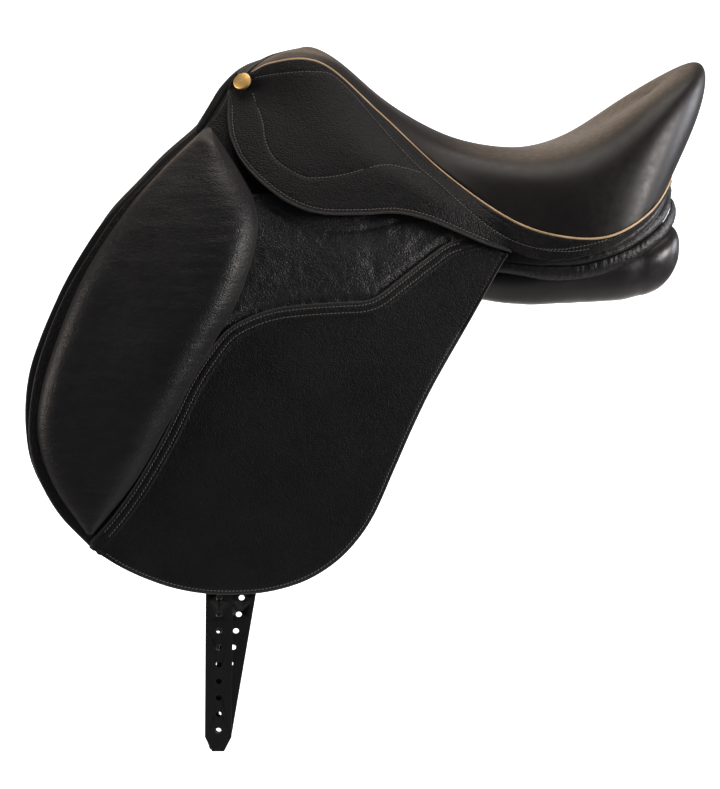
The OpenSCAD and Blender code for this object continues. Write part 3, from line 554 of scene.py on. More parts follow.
skirt = {
    "thick": 3.0, "round": 1.5, "off": 3.2, "rise": 12.0, "riseOver": 0.25, "fallOver": 0.35,
    "front": 8.0, "frontOver": 0.06, "fromPiping": 1.0, "proud": 0.4, "bulge": (0, -9, 2),
    "bandU": [-0.045, 0.04, 0.18, 0.42, 0.69, 0.985],  # places along the turning line
    "lobeU": [-0.045, 0.02, 0.06, 0.13, 0.22, 0.32, 0.42, 0.52, 0.62, 0.72, 0.82, 0.91, 0.985],
    "edge": [(-266.2, 196), (-266.5, 174), (-264, 156), (-255, 136), (-235, 115), (-209, 97), (-181, 88),
             (-144, 87), (-111, 88), (-83, 82), (-56, 71), (-28, 59), (-3, 51)],
    "tail": [(4, 31), (3.5, 28), (2.5, 24), (0.5, 18), (-2, 13.5), (-3.5, 10.5), (-4, 9.5), (-4, 9),
             (-4, 8.5)],  # out and down from the piping
    "tailFrom": 0.5, "tailTo": 0.9, "intoTail": (0.485, 0.05), "leaveInto": (0.46, 0.1),
    "seam": [(-242, 212), (-225, 215), (-208, 217), (-187, 218), (-167, 215), (-148, 197.5), (-127, 173),
             (-108, 151), (-88, 130), (-70, 115), (-46, 93), (-24, 75), (-6, 64), (12, 57.5), (30, 54.2),
             (50, 53.6), (70, 56.5)],
    "pocket": [(-243, 200), (-234, 173), (-231, 153), (-221, 136), (-199, 122.5), (-185, 120.6),
               (-159, 123.5), (-123, 132), (-101, 129), (-84, 124)],
    "sewn": 4.8, "crease": 2.4, "seamEnd": (55, 20), "pocketPad": 0.25, "pocketOver": 12,
    "tailSewn": 10.5, "tailRow": (0.51, 0.7), "tailFade": (0.66, 0.08),
    "weltSewn": 5.0, "weltFrom": (0.25, 0.08), "weltTo": (0.62, 0.1),
    "gather": 0.5, "gatherWay": 9, "lip": 0.5, "lipWay": 1.2,
    "bandBend": (-9, -1), "lobeBend": (1.5, 30),  # mm below the turning line
}


def standoff(p):
    along = ((p - hinge["a"]) * hinge["way"]).sum(-1) / (hinge["way"] ** 2).sum()
    over = smooth(along / skirt["riseOver"]) * smooth((1 - along) / skirt["fallOver"])
    return skirt["off"] + skirt["rise"] * over


def lobeFace(p):  # outer face of the lobe over p = (x, z)
    return onSide(p, hang["r"] + standoff(p) + skirt["thick"])


def drawn(points, count=160):  # a curve through the given points
    return spline(points, np.linspace(0, 1, count))


def leftOf(line):  # unit vectors to the left of a line in X and Z
    return unit(np.stack([-np.gradient(line[:, 1]), np.gradient(line[:, 0])], 1))


def blendOver(piece, side):
    # reads the turning line and the way down the leather at it from the flap's joint, then bakes the piece's
    # placement; nothing is bent
    joint = joints["flap_lift_" + side]
    at, axis = np.array(joint["pos_m"]), np.array(joint["axis"])
    out = np.array([0, -0.903 * sides[side], 0.429])  # the side's slope at the line
    down = unit(np.cross(out, axis))
    down *= -np.sign(down[2])
    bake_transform(piece)


def buildSkirt(side, flip):
    seamLine, pocketLine = drawn(skirt["seam"]), drawn(skirt["pocket"])

    def sewnRelief(p):
        relief = groove(wayTo(p, seamLine), 0, "seam") + groove(wayTo(p, pocketLine), 0, "seam")
        return relief + skirt["pocketPad"] * smooth(wayTo(p, pocketLine) / skirt["pocketOver"])

    # band: cubic from the piping to the turning line, leaving it in the direction of the lobe
    corner = roundSteps(skirt["round"])
    t = join([corner / 420, np.linspace(0.006, skirt["tailTo"], 220)])
    point, way, normal = weltEdge(t)
    top = turnY(point + (seat["pipingWay"] + skirt["fromPiping"]) * way + skirt["proud"] * normal)
    top = top + skirt["front"] * (1 - smooth(t / skirt["frontOver"]))[:, None] * [-1, 0, 0.1]
    u = np.interp(t, np.linspace(0, skirt["tailFrom"], 200), drawn(skirt["bandU"], 200))
    onHinge = hingeAt(u)
    low = lobeFace(onHinge)
    fall = spline(skirt["tail"], (t - skirt["tailFrom"]) / (skirt["tailTo"] - skirt["tailFrom"]))
    tail = turnY(point) - np.stack([0 * t, fall[:, 0], fall[:, 1]], 1)
    low = mix(low, tail, past(t, skirt["intoTail"])[:, None])
    s = np.interp(u, drawn(skirt["lobeU"], 300), np.linspace(0, 1, 300))
    fall = unit(spline(skirt["edge"], s) - onHinge)
    leave = unit(lobeFace(onHinge + fall) - lobeFace(onHinge - fall))
    chord = low - top
    leave = unit(mix(leave, unit(chord), past(t, skirt["leaveInto"])[:, None]))
    length = norm(chord, axis=1, keepdims=True)
    v = join([corner / 40, np.linspace(0.05, 0.95, 40), 1 - corner[::-1] / 40])[None, :, None]
    start, finish = chord + skirt["bulge"], leave * length
    bandFace = (top[:, None] * (2 * v**3 - 3 * v**2 + 1) + start[:, None] * (v**3 - 2 * v**2 + v)
                + low[:, None] * (3 * v**2 - 2 * v**3) + finish[:, None] * (v**3 - v**2))
    n = gridNormals(bandFace, nearSide)
    relief = sewnRelief(bandFace[..., [0, 2]]) * (1 - past(bandFace[..., 0], skirt["seamEnd"]))
    free = borderWay(bandFace, ("v1",)) + 50 * (t < skirt["tailFrom"])[:, None]  # the tail alone is free
    late = (1 - past(t, skirt["tailFade"]))[:, None]
    relief = relief + groove(free, skirt["tailSewn"], "bandRow") * late
    ahead = borderWay(bandFace, ("s0",))
    relief = relief + groove(ahead, skirt["crease"], "crease") + groove(ahead, skirt["sewn"], "edgeRow")
    below = borderWay(bandFace, ("v0",))
    slope = (past(t, skirt["weltFrom"]) * smooth((skirt["weltTo"][0] - t) / skirt["weltTo"][1]))[:, None]
    relief = relief + groove(below, skirt["weltSewn"], "bandRow") * slope
    relief = relief + skirt["gather"] * noise(bandFace, (5, 30, 4), 8) * np.exp(-free / skirt["gatherWay"])
    bandFace = bandFace + n * relief[..., None]
    band = addPiece("skirtBand_" + side, bandGrids(bandFace, t), leather["pebbledHide"], flip)
    # lobe: over the side surface, from the turning line to its free edge
    s = bothEnds(200, corner, 330)
    head = hingeAt(spline(skirt["lobeU"], s))
    rim = spline(skirt["edge"], s)
    flat = fanTo(head, rim, [*corner, 1.9, 2.4, 2.9, 3.4, 4.1, 4.8, 5.5, 6.3, 7.2], 62)
    lobe = lobeFace(flat)
    edgeLine = drawn(skirt["edge"], 300)
    free = wayTo(flat, edgeLine)
    n = sideNormal(flat, hang["r"])
    relief = sewnRelief(flat) + groove(free, skirt["crease"], "crease")
    relief = relief + groove(free, skirt["sewn"], "edgeRow")
    relief = relief + skirt["lip"] * np.exp(-((free - skirt["lipWay"]) / skirt["lipWay"]) ** 2)
    lobe = lobe + n * relief[..., None]
    piece = addSheet("skirtLobe_" + side, lobe, skirt["thick"], ("s0", "v1"), leather["pebbledHide"], flip,
                     cuts=("v0", "s1"))
    # thread
    bandN, lobeN = gridNormals(bandFace, nearSide), gridNormals(lobe, nearSide)
    sewnLine = evenSteps((edgeLine + skirt["sewn"] * leftOf(edgeLine))[8:-20])
    pocket = evenSteps(pocketLine)
    above = ((pocket - hinge["a"]) * hinge["down"]).sum(1) < 0
    rows = [layOn(lobe, lobeN, sewnLine)]
    rows += [layOn(lobe, lobeN, part) for part in runs(pocket, ~above)]
    threadLobe = addStitches("skirtThread_" + side, rows, thread, flip)
    rows = [layOn(bandFace, bandN, evenSteps(seamLine)), tailRow(bandFace, bandN, t)]
    rows += [layOn(bandFace, bandN, part) for part in runs(pocket, above)]
    threadBand = addStitches("bandThread_" + side, rows, thread, flip)
    for p in (band, threadBand):
        blendOver(p, side)
    for p in (piece, threadLobe):
        blendOver(p, side)
    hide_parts("skirt_band_" + side)
    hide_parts("skirt_" + side)


def runs(path, keep):  # the unbroken stretches of a path where keep holds
    cuts = np.flatnonzero(np.diff(keep.astype(int))) + 1
    parts = zip(np.split(path, cuts), np.split(keep, cuts))
    return [part for part, k in parts if k[0] and len(part) > 8]


def bandGrids(face, t):  # square cut along the turning line, rounded along the tail's free edge
    n = gridNormals(face, nearSide)
    thick, r = skirt["thick"], skirt["thick"] / 2
    way = borderWay(face, ("s0", "s1", "v0"))
    free = borderWay(face, ("v1",)) + 99 * (t < 0.49)[:, None]  # rounded from just ahead of the tail
    roundOff = roundOver(np.minimum(way, free), r)
    row = (face - n * r)[:, -1:]
    return [join([g, row], 1) for g in (face - n * roundOff, face - n * (thick - roundOff))]


def tailRow(face, n, t):  # a row of stitches along the tail's free edge
    k = (t > skirt["tailRow"][0]) & (t < skirt["tailRow"][1])
    d = borderWay(face, ("v1",))[k]
    j = np.abs(d - skirt["tailSewn"]).argmin(1)
    i = np.arange(k.sum())
    return face[k][i, j], n[k][i, j]


for side, flip in sides.items():
    buildSkirt(side, flip)
print("skirts built")

# flap: base sheet, overlays, padded insert and thigh block, drawn in X and Z
flap = {
    "front": [(-260, 207), (-265, 198), (-270, 189), (-276, 179), (-284, 170), (-295, 160), (-313, 144),
              (-332, 127), (-369, 90), (-393, 56), (-414, 23), (-432, -16), (-445, -56), (-451, -98),
              (-449, -127), (-440, -154), (-423, -183), (-397, -211)],
    "low": [(-397, -211), (-369, -230), (-342, -243), (-315, -252), (-283, -257), (-241, -256.5),
            (-205, -248), (-177, -233), (-155, -213), (-136, -186), (-117, -145), (-98, -104), (-77, -64),
            (-43, -9), (-14, 38), (-6, 49)],
    "seam": [(-395, -204), (-373, -179), (-351, -148), (-327, -107), (-306, -65), (-290, -40), (-271, -17),
             (-250, -5), (-227, 2.5), (-200, 6), (-165, 8), (-144, 9), (-129, 14), (-108, 29), (-82, 48),
             (-62, 61)],
    "thick": 3.4, "round": 1.7, "headUp": (12, 23), "headOver": 0.4,  # how far it runs up under the skirt
    "window": (-154, 110.5, 58, 19.5),  # slot for the stirrup bar: x, z, half length, half height
    "apron": 2.2, "apronRound": 1.1, "apronGap": 0.2, "fold": 12.5, "foldRise": 0.9, "foldOver": 1.5,
    "rows": (4.3, 10.2), "rearSewn": 3.6, "lip": 0.5, "lipAt": 0.8, "lipWay": 0.9,
    "wave": 0.35, "waveSize": 55, "bend": (-12, 24),  # mm below the turning line
}


def onFlap(piece, side, slot, *nodes):  # stands for these solids; nothing binds it to the flap or bends it
    if nodes:
        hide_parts(*nodes)
    blendOver(piece, side)


def buildFlap(side, flip):
    outline = join([drawn(flap["front"], 200), drawn(flap["low"], 200)[1:]])
    run, corner = wayAlong(outline), roundSteps(flap["round"])
    s = bothEnds(170, corner, run[-1])
    rim = pickAt(outline, run, s * run[-1])
    up = mix(*flap["headUp"], smooth(s / flap["headOver"]))[:, None]
    head = hingeAt(mix(0.05, 0.95, s)) - up * hinge["down"]
    flat = fanTo(head, rim, [*corner, 2.6, 4], 90)
    x, z, halfX, halfZ = flap["window"]  # its rim is drawn to a clean rectangle
    overX, overZ = np.abs(flat[..., 0] - x), np.abs(flat[..., 1] - z)
    inside = (overX < halfX) & (overZ < halfZ)
    solid = ~(inside[:-1, :-1] & inside[1:, :-1] & inside[1:, 1:] & inside[:-1, 1:])
    used = np.zeros_like(inside)
    for a, b in ((0, 0), (1, 0), (0, 1), (1, 1)):
        used[a:a + solid.shape[0], b:b + solid.shape[1]] |= solid
    nearX = halfX - overX < halfZ - overZ
    flat[..., 0] = np.where(inside & used & nearX, x + halfX * np.sign(flat[..., 0] - x), flat[..., 0])
    flat[..., 1] = np.where(inside & used & ~nearX, z + halfZ * np.sign(flat[..., 1] - z), flat[..., 1])
    base = onSide(flat, hang["r"])
    grids = sheetGrids(base, flap["thick"], allRound, nearSide)
    edge = np.stack([np.exp(-borderWay(g, ("s0", "s1", "v1")) / wearAndHighlightWay["flap"]) for g in grids])
    m, n = flat.shape[:2]
    i, quads = gridQuads(m, n)
    a, b = np.nonzero(solid[1:] != solid[:-1])
    walls = [np.stack([i[a + 1, b], i[a + 1, b + 1]], 1)]
    a, b = np.nonzero(solid[:, 1:] != solid[:, :-1])
    walls = join(walls + [np.stack([i[a, b + 1], i[a + 1, b + 1]], 1)])
    walls = join([walls, walls[:, ::-1] + m * n], 1)
    quads = join([quads[solid], quads[solid] + m * n, walls])
    verts = join([g.reshape(-1, 3) for g in grids])
    sheet = meshPiece("flapSheet_" + side, verts, quads, leather["pebbledHide"], flip, edge)
    onFlap(sheet, side, "grained_leather", "flap_" + side, "flap_margin_" + side)
    # apron: from the seam to the lower and rear edge, its seam side folded over and sewn twice
    corner = roundSteps(flap["apronRound"])
    s = bothEnds(180, corner, 420)
    seamEnd = [tuple(p) for p in flap["seam"]] + [tuple(hingeAt(0.87) + 3 * hinge["down"])]
    head, rim = spline(seamEnd, s**0.85), spline(flap["low"], s)
    width = norm(rim - head, axis=1)
    v = fanRows(width, join([corner, np.arange(1.6, 15, 0.8)]), 90)
    late = corner[::-1][:-1] / width[:, None]
    v = join([v[:, :-1], 1 - late, np.ones_like(width)[:, None]], 1)
    flat = between(head, rim, v)
    seamLine, rimLine = drawn(seamEnd, 300), drawn(flap["low"], 300)
    fromSeam, fromRim = wayTo(flat, seamLine), wayTo(flat, rimLine)
    rise = flap["apron"] + flap["foldRise"] * (1 - past(fromSeam, (flap["fold"], flap["foldOver"])))
    for row in flap["rows"]:
        rise = rise + groove(fromSeam, row, "foldRow")
    lip = flap["lip"] * np.exp(-((fromSeam - flap["lipAt"]) / flap["lipWay"]) ** 2)
    rise = rise + groove(fromRim, flap["rearSewn"], "rearRow") + lip
    rise = rise + flap["wave"] * noise(onSide(flat, hang["r"]), flap["waveSize"], 21)
    apronFace = onSide(flat, hang["r"] + flap["apronGap"] + rise)
    apron = addSheet("flapApron_" + side, apronFace, flap["apron"], allRound, leather["pebbledHide"], flip)
    onFlap(apron, side, "grained_leather", "flap_apron_" + side)
    # thread on the apron
    n = gridNormals(apronFace, nearSide)
    lines = [(seamLine - way * leftOf(seamLine))[6:-8] for way in flap["rows"]]
    lines.append((rimLine + flap["rearSewn"] * leftOf(rimLine))[8:-8])
    rows = [layOn(apronFace, n, evenSteps(line)) for line in lines]
    sewing = addStitches("flapThread_" + side, rows, thread, flip)
    onFlap(sewing, side, "grained_leather")


for side, flip in sides.items():
    buildFlap(side, flip)
print("flaps built")

insert = {
    "top": [(-268, 100), (-228, 108), (-170, 108), (-112, 98), (-72, 80), (-44, 68)],
    "low": [(-282, -26), (-250, -7), (-227, 0), (-200, 4), (-165, 6), (-144, 7), (-129, 12), (-108, 27),
            (-82, 46), (-40, 66)],
    "fold": [(-228, 92), (-200, 80), (-182, 73), (-158, 71), (-135, 74), (-107, 80)],
    "thick": 3.0, "thickOver": 9, "pad": 3.2, "padOver": 45, "proud": 0.2, "sunk": 0.5,
    "crease": 0.8, "fineCrease": 0.4, "creaseOver": 20, "gather": 0.45, "gatherWay": 8,
}
block = {
    "front": [(-287, 166), (-299, 155), (-329, 127), (-362, 90), (-400, 33), (-427, -30), (-441, -80),
              (-441, -118), (-427, -158), (-399, -199)],
    "rear": [(-282, 166), (-272, 151), (-255, 126), (-242, 100), (-240, 66), (-257, 14), (-287, -38),
             (-320, -94), (-354, -151), (-394, -200)],
    "edge": 5.0, "high": 30.0, "frontRound": 24, "rearRound": 40, "proud": 0.1, "sunk": 0.2,
    "near": [0, 0.15, 0.6, 1.3, 2.4, 3.8, 5.5], "ends": [0, 0.6, 1.4, 2.6, 4.2],  # rows close to the edges
    "pucker": 0.5, "puckerWay": 16, "puckerFrom": (0.12, 0.15), "puckerTo": (0.75, 0.2),
    "wave": 0.4, "ripple": 0.25, "topThin": 0.1, "topOver": 0.12,
}
sweat = {
    "front": [(-281, 186), (-289, 175), (-299, 163), (-330, 136), (-357, 108), (-383, 81), (-402, 54),
              (-418, 27), (-431, 0), (-442, -26), (-451, -53), (-455, -80), (-455, -107), (-451, -134),
              (-440, -160), (-428, -176)],
    "head": [(-262, 160), (-262, 90), (-252, 56), (-200, 50), (-40, 32)],
    "r": 933.9, "thick": 3.0, "round": 1.5, "inside": (-7, 9),  # from the flap's lower edge
}


def padGrids(flat, rise, sunk):  # a padded face over the side and its base, closed at the rim
    face, base = onSide(flat, hang["r"] + rise), onSide(flat, hang["r"] - sunk)
    face[[0, -1]], face[:, [0, -1]] = base[[0, -1]], base[:, [0, -1]]
    return [face, base]


def buildInsert(side, flip):
    s, v = np.linspace(0, 1, 130), np.linspace(0, 1, 80)
    top, low = spline(insert["top"], s), spline(insert["low"], s)
    flat = between(top, low, v)
    away = wayTo(flat, drawn(flap["seam"], 200))
    fold = wayTo(flat, drawn(insert["fold"], 120))
    p = onSide(flat, hang["r"])
    rise = insert["thick"] * smooth(away / insert["thickOver"])
    rise = rise + insert["pad"] * smooth(away / insert["padOver"])
    creases = insert["crease"] * noise(p, (15, 15, 20), 31) + insert["fineCrease"] * noise(p, (6, 6, 7), 32)
    rise = rise + insert["proud"] + creases * smooth(away / insert["creaseOver"]) + groove(fold, 0, "fold")
    rise = rise + insert["gather"] * noise(p, (4, 9, 9), 33) * np.exp(-away / insert["gatherWay"])
    grids = padGrids(flat, rise, insert["sunk"])
    piece = addPiece("flapInsert_" + side, grids, leather["insertNappa"], flip, sharp=80)
    onFlap(piece, side, "soft_leather", "flap_insert_" + side)


def buildBlock(side, flip):
    u, near = bothEnds(150, block["ends"], 380), np.array(block["near"])
    a, b = spline(block["front"], u), spline(block["rear"], u)
    width = norm(b - a, axis=1)
    v = fanRows(width, near, 84)
    end = near[::-1] / np.maximum(width, 14)[:, None]
    v = join([v[:, :-8], 1 - end * np.minimum(1, width / 40)[:, None]], 1)
    v = np.sort(np.clip(v, 0, 1), axis=1)
    flat = between(a, b, v)
    run = np.maximum(0, np.sin(np.pi * u**0.85))[:, None] ** 0.7
    p = onSide(flat, hang["r"])
    front, rear = wayTo(flat, drawn(block["front"], 200)), wayTo(flat, drawn(block["rear"], 200))
    rim = np.minimum(front, rear)
    rise = block["edge"] + block["high"] * run * (0.4 + 0.6 * smooth(v / 0.9))
    last, over = block["puckerTo"]
    middle = (past(u, block["puckerFrom"]) * smooth((last - u) / over))[:, None]
    tight = np.exp(-rear / block["puckerWay"]) * middle  # leather drawn tight round the rear edge
    rise = rise + block["wave"] * noise(p, (38, 38, 6), 43) + block["ripple"] * noise(p, (22, 22, 3), 44)
    rise = rise + block["pucker"] * noise(p, (40, 40, 3.6), 41) * tight
    for way, most, share in ((front, block["frontRound"], 0.4), (rear, block["rearRound"], 0.6)):
        r = np.minimum(most, share * width)
        k = 1 - np.clip(way / np.maximum(r, 0.5)[:, None], 0, 1)
        rise = rise * np.maximum(0, 1 - k**3) ** 0.45
    rise = rise * mix(block["topThin"], 1, smooth(u / block["topOver"]))[:, None]
    edge = join([np.exp(-rim / wearAndHighlightWay["pad"]).ravel(), np.zeros(rim.size)])
    grids = padGrids(flat, block["proud"] + rise, block["sunk"])
    piece = addPiece("thighBlock_" + side, grids, leather["softNappa"], flip, edge, sharp=80)
    onFlap(piece, side, "soft_leather", "thigh_block_" + side)


def buildSweatFlap(side, flip):
    outline = join([drawn(sweat["front"], 180), drawn(flap["low"], 200)[16:170] + sweat["inside"]])
    run, corner = wayAlong(outline), roundSteps(sweat["round"])
    s = bothEnds(150, corner, run[-1])
    rim, head = pickAt(outline, run, s * run[-1]), spline(sweat["head"], s)
    face = onSide(fanTo(head, rim, [*corner, 2.6, 4], 60), sweat["r"])
    piece = addSheet("sweatFlap_" + side, face, sweat["thick"], allRound, leather["bridleStrap"], flip)
    onSeat(piece, "smooth_leather", "sweat_flap_" + side)


for side, flip in sides.items():
    buildInsert(side, flip)
    buildBlock(side, flip)
    buildSweatFlap(side, flip)
print("inserts, blocks and sweat flaps built")

# panels, their gathered gussets and the facings
panel = {
    "x": [-256, -228, -180, -120, -60, 0, 50, 100, 125],
    "top": [(29, 168), (26, 160), (25, 146), (26, 120), (28, 88), (30, 57), (31, 46), (32, 43), (33, 47)],
    "low": [(52, 118), (58, 84), (72, 38), (86, 20), (94, 14), (111, 12), (121, 20), (121, 24), (116, 29)],
    "thick": [0.4, 0.6, 0.72, 0.8, 0.95, 1.06, 1.16, 1.16, 1.15], "half": 25, "square": 0.75,
    "end": (41.5, 10, 17), "blunt": 2.6, "wave": 0.8, "ripple": 0.25,
    "facing": [(-34, -114, 45), (2, -121, 40.5), (32, -125.5, 38.5), (60, -127.5, 39.5), (85, -126.5, 45.5),
               (112, -118.5, 55.5), (138, -103, 71), (154, -80, 86), (162, -46, 97), (166, -20, 101),
               (167, 0, 102)],
    "foot": [(-34, -109, 34), (2, -117, 30), (32, -122, 25), (60, -124, 26), (85, -123, 31), (112, -117, 42),
             (138, -104, 57), (155, -82, 70), (165, -56, 78)],
    "gusset": 1.4, "gussetLow": 0.6, "gussetRoll": 3.2, "gather": 0.6,
    "facingThick": 2.2, "facingRoll": 2.4, "facingGather": 0.4, "facingFrom": 0.42,
    "facingUp": (0.7, 0.15),  # from here on it closes up to the piping
}


def panelAt(s, a):  # section of the panel at s, a in degrees round it
    t, b = spline(panel["top"], s), spline(panel["low"], s)
    c, w = (t + b) / 2, (b - t) / 2
    n = unit(np.stack([-w[:, 1], w[:, 0]], 1)) * spline(panel["thick"], s)[:, None] * panel["half"]
    a = np.radians(a)
    ca, sa = (np.sign(f) * np.abs(f) ** panel["square"] for f in (np.cos(a), np.sin(a)))
    p = c[:, None] + w[:, None] * ca[None, :, None] + n[:, None] * sa[None, :, None]
    x = np.broadcast_to(spline(panel["x"], s)[:, None], p.shape[:2])
    return np.stack([x, -p[..., 0], p[..., 1]], -1)


def buildPanel(side, flip):
    s, a = np.linspace(0, 1, 110), np.linspace(0, 360, 73)
    body = panelAt(s, a)
    centre, blunt = body[-1].mean(0), panel["blunt"]
    q = np.sin(np.linspace(0, np.pi / 2, 26))[1:, None, None]  # a dome, whose middle moves to the end
    bend = join([q, q**1.5, q**1.5], -1) * panel["end"]
    ring = (body[-1] - centre) * np.maximum(0, 1 - q**blunt) ** (1 / blunt)
    body = join([body, centre + bend + ring])
    middle = body.mean(1, keepdims=True)
    n = normalsOut(body, body - middle)
    relief = panel["wave"] * noise(body, (45, 30, 30), 51) + panel["ripple"] * noise(body, (9, 14, 14), 52)
    body = body + n * relief[..., None]
    body[:, -1] = body[:, 0]
    caps = [mix(body[k][None], middle[k][None], np.linspace(0, 1, 6)[:, None, None]) for k in (0, -1)]
    piece = addPiece("panelCushion_" + side, [body, *caps], leather["panelNappa"], flip, sharp=60)
    onSeat(piece, "panel_leather", "panel_" + side)
    # gusset: one gathered roll between the panel's upper edge and the facing
    k, v = np.linspace(0, 1, 260), np.linspace(0, 1, 40)
    foot, head = spline(panel["foot"], k), spline(panel["facing"], 0.8 * k)
    strip = between(foot, head, v)
    outward = (0.3, -1, 0.2)
    roll = panel["gussetLow"] + panel["gussetRoll"] * np.sin(np.pi * v)[None, :] ** 0.6
    sewn = 0.35 + 0.65 * np.abs(np.cos(np.pi * v))[None, :]  # gathered most where it is sewn
    gather = panel["gather"] * noise(strip, (2.4, 2.4, 14), 55) * sewn
    strip = strip + gridNormals(strip, outward) * (roll + gather)[..., None]
    piece = addSheet("panelGusset_" + side, strip, panel["gusset"], allRound, leather["softNappa"], flip,
                     outward)
    onSeat(piece, "soft_leather", "panel_gusset_" + side)


pommel = {
    "rim": [(-205, 0, 237), (-217, 11, 235), (-230, 19, 230), (-246, 27, 225), (-259, 34, 217),
            (-272.5, 40, 203), (-281.5, 47, 189), (-289.5, 52, 176), (-298, 57, 163)],
    "side": [(-254, 46, 207), (-262, 49, 192), (-273, 56, 176), (-284, 62, 161)],
    "thick": 3.0, "roll": 1.7,
}


def buildPommel():  # facing in front of the seat's edge, two rolled lips from arch to sweat flaps
    k, v = np.linspace(0, 1, 120), np.linspace(0, 1, 36)
    atSeat = seatAt([0], np.minimum(1, 2 * k))[0] + [-1, 0, -0.6]
    inner = np.where((k < 0.5)[:, None], atSeat, spline(pommel["side"], 2 * k - 1))
    half = between(spline(pommel["rim"], k), inner, v)
    half[0, :, 1] = 0
    strip = join([half[:0:-1], turnY(half)])
    out = np.stack([0 * strip[..., 0] - 0.7, 0.02 * strip[..., 1], 0 * strip[..., 2] + 0.4], -1)
    n = normalsOut(strip, out)
    roll = pommel["roll"] * (np.abs(np.sin(2 * np.pi * v))[None, :] ** 0.6 - 0.5)
    strip = strip + n * roll[..., None]
    piece = addPiece("pommelFacing", [strip, strip - pommel["thick"] * n], leather["bridleStrap"], sharp=80)
    onSeat(piece, "smooth_leather", "pommel_facing")


def buildFacings():
    # cantle facing: two rolls between the seat's underside and the gussets, round the back
    k, v = np.linspace(0, 1, 200), np.linspace(0, 1, 40)
    low = spline(panel["facing"], k)
    t = mix(panel["facingFrom"], 1, k)
    drop = np.stack([0 * t, 0 * t - 7, mix(-12, -2, past(t, panel["facingUp"]))], 1)
    top = turnY(mix(overCentre(seat["spine"], t) - [0, 0, 15], overCentre(seat["welt"], t) + drop, 0.985))
    top[-1, 1] = 0
    low = join([low, turnY(low[-2::-1])])
    top = join([top, turnY(top[-2::-1])])
    strip = between(top, low, v)
    out = np.stack([strip[..., 0] - 40, strip[..., 1], 0 * strip[..., 2]], -1)
    n = normalsOut(strip, out)
    roll = panel["facingRoll"] * np.abs(np.sin(2 * np.pi * v))[None, :] ** 0.7
    strip = strip + n * (roll + panel["facingGather"] * noise(strip, (3, 3, 8), 61))[..., None]
    under = strip - panel["facingThick"] * n
    piece = addPiece("cantleFacing", [strip, under], leather["softNappa"], sharp=80)
    onSeat(piece, "smooth_leather", "cantle_facing")


for side, flip in sides.items():
    buildPanel(side, flip)
buildFacings()
buildPommel()
print("panels and facings built")

# solids that stay: rounded edges and their own finish
kept = {
    "tree_head": leather["bridleStrap"], "tree_": beech, "gullet_plate": steel,
    "gullet_lining": leather["bridleStrap"], "spring_steel": steel, "girth_web": webbing, "seat_web": webbing,
    "stud_": brass, "billet_": leather["bridleStrap"], "point_strap": webbing, "web_drop": webbing,
    "stirrup_": steel, "catch_pin": steel, "bar_rivets": steel, "panel_bridge": leather["bridleStrap"],
}
for name, node in cadNodes.items():
    finish = next((m for key, m in kept.items() if name.startswith(key)), None)
    if finish is None or node.hide_render:
        continue
    node.data.materials.clear()
    node.data.materials.append(finish)
    weld = node.modifiers.new("weld", "WELD")
    weld.merge_threshold = 1e-6
    bevel = node.modifiers.new("bevel", "BEVEL")
    bevel.width, bevel.segments = 0.5 * mm, 2
    bevel.limit_method, bevel.angle_limit = "ANGLE", math.radians(40)
print("solids dressed")

# stage: white floor and backdrop, soft light, camera
stage = {"floor": -1.5, "half": 12, "back": 5, "high": 0.95, "wide": 2.4, "world": 0.15,
         "glowFrom": 1.0, "glowFull": 2.2, "glowWide": 1.4}  # metres
paper, tree, place = newMaterial("whitePaper")  # glows behind the saddle, as a lit studio roll does
place = addNode(tree, "SeparateXYZ", None, {0: place})
deep = addNode(tree, "MapRange", {"From Min": stage["glowFrom"], "From Max": stage["glowFull"]},
               {"Value": place.outputs["Y"]})
aside = addNode(tree, "Math", {"operation": "ABSOLUTE"}, {0: place})
wide = addNode(tree, "MapRange", {"From Min": stage["wide"], "From Max": stage["glowWide"]}, {"Value": aside})
glow = addNode(tree, "Math", {"operation": "MULTIPLY"}, {0: deep, 1: wide})
surfaced(paper, {"Base Color": hexColor("#f0f0f0"), "Roughness": 0.9, "Specular IOR Level": 0.1,
                 "Emission Color": hexColor("#ffffff")}, {"Emission Strength": glow})


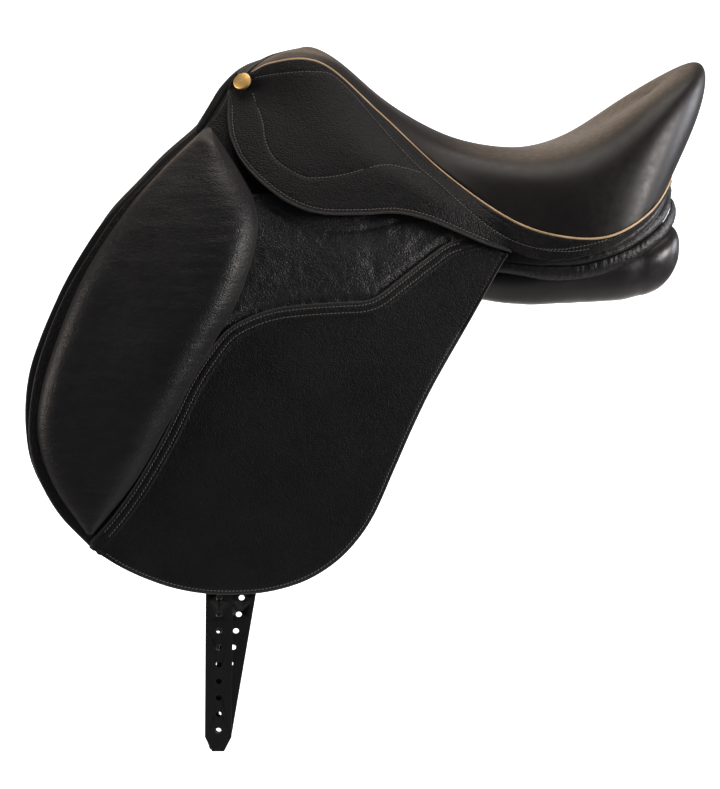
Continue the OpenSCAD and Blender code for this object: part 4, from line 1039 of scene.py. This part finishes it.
def addScreen(name, corners):
    mesh = bpy.data.meshes.new(name)
    mesh.from_pydata(corners, [], [(0, 1, 2, 3)])
    mesh.materials.append(paper)
    screen = bpy.data.objects.new(name, mesh)
    bpy.context.scene.collection.objects.link(screen)


half, low, back, wide, high = (stage[key] for key in ("half", "floor", "back", "wide", "high"))
addScreen("floor", [(-half, -half, low), (half, -half, low), (half, half, low), (-half, half, low)])
addScreen("backdrop", [(-wide, back, low), (wide, back, low), (wide, back, high), (-wide, back, high)])

world = bpy.data.worlds.new("studio")
world.use_nodes = True
sky = world.node_tree.nodes["Background"]
sky.inputs["Color"].default_value = hexColor("#dfe6f8")
sky.inputs["Strength"].default_value = stage["world"]
bpy.context.scene.world = world
bpy.context.scene.view_settings.view_transform = "Standard"

lights = {  # place, aim, size (m), power (W), colour
    "window": ((2.0, 0.55, 0.35), (0, 0, 0.05), 0.8, 26, "#f6f6ff"),
    "side": ((1.7, -0.85, 0.45), (-0.15, -0.17, -0.05), 0.7, 62, "#fffaf6"),
    "top": ((0.0, 0.1, 2.4), (-0.05, 0, 0.1), 1.9, 50, "#fff6ee"),
    "behind": ((-0.5, 2.4, 1.6), (0.05, 0, 0.12), 2.2, 18, "#ffe2c4"),
    "left": ((-2.2, -0.5, 0.5), (-0.3, -0.1, 0), 0.8, 30, "#fff4ea"),
}


def aimed(name, data, place, aim):  # puts a lamp or a camera there and points it
    holder = bpy.data.objects.new(name, data)
    holder.location = place
    holder.rotation_euler = (Vector(aim) - Vector(place)).to_track_quat("-Z", "Y").to_euler()
    bpy.context.scene.collection.objects.link(holder)
    return holder


for name, (place, aim, size, power, colour) in lights.items():
    lamp = bpy.data.lights.new(name, "AREA")
    lamp.size, lamp.energy, lamp.color = size, power, hexColor(colour)[:3]
    aimed(name, lamp, place, aim)

view = {"place": (-0.2809, -2.0666, 0.2270), "aim": (-0.143, -0.095, -0.086), "lens": 95.8, "film": 36}
lens = bpy.data.cameras.new("camera")
lens.lens, lens.sensor_width = view["lens"], view["film"]
bpy.context.scene.camera = aimed("camera", lens, view["place"], view["aim"])

print("scene ready")
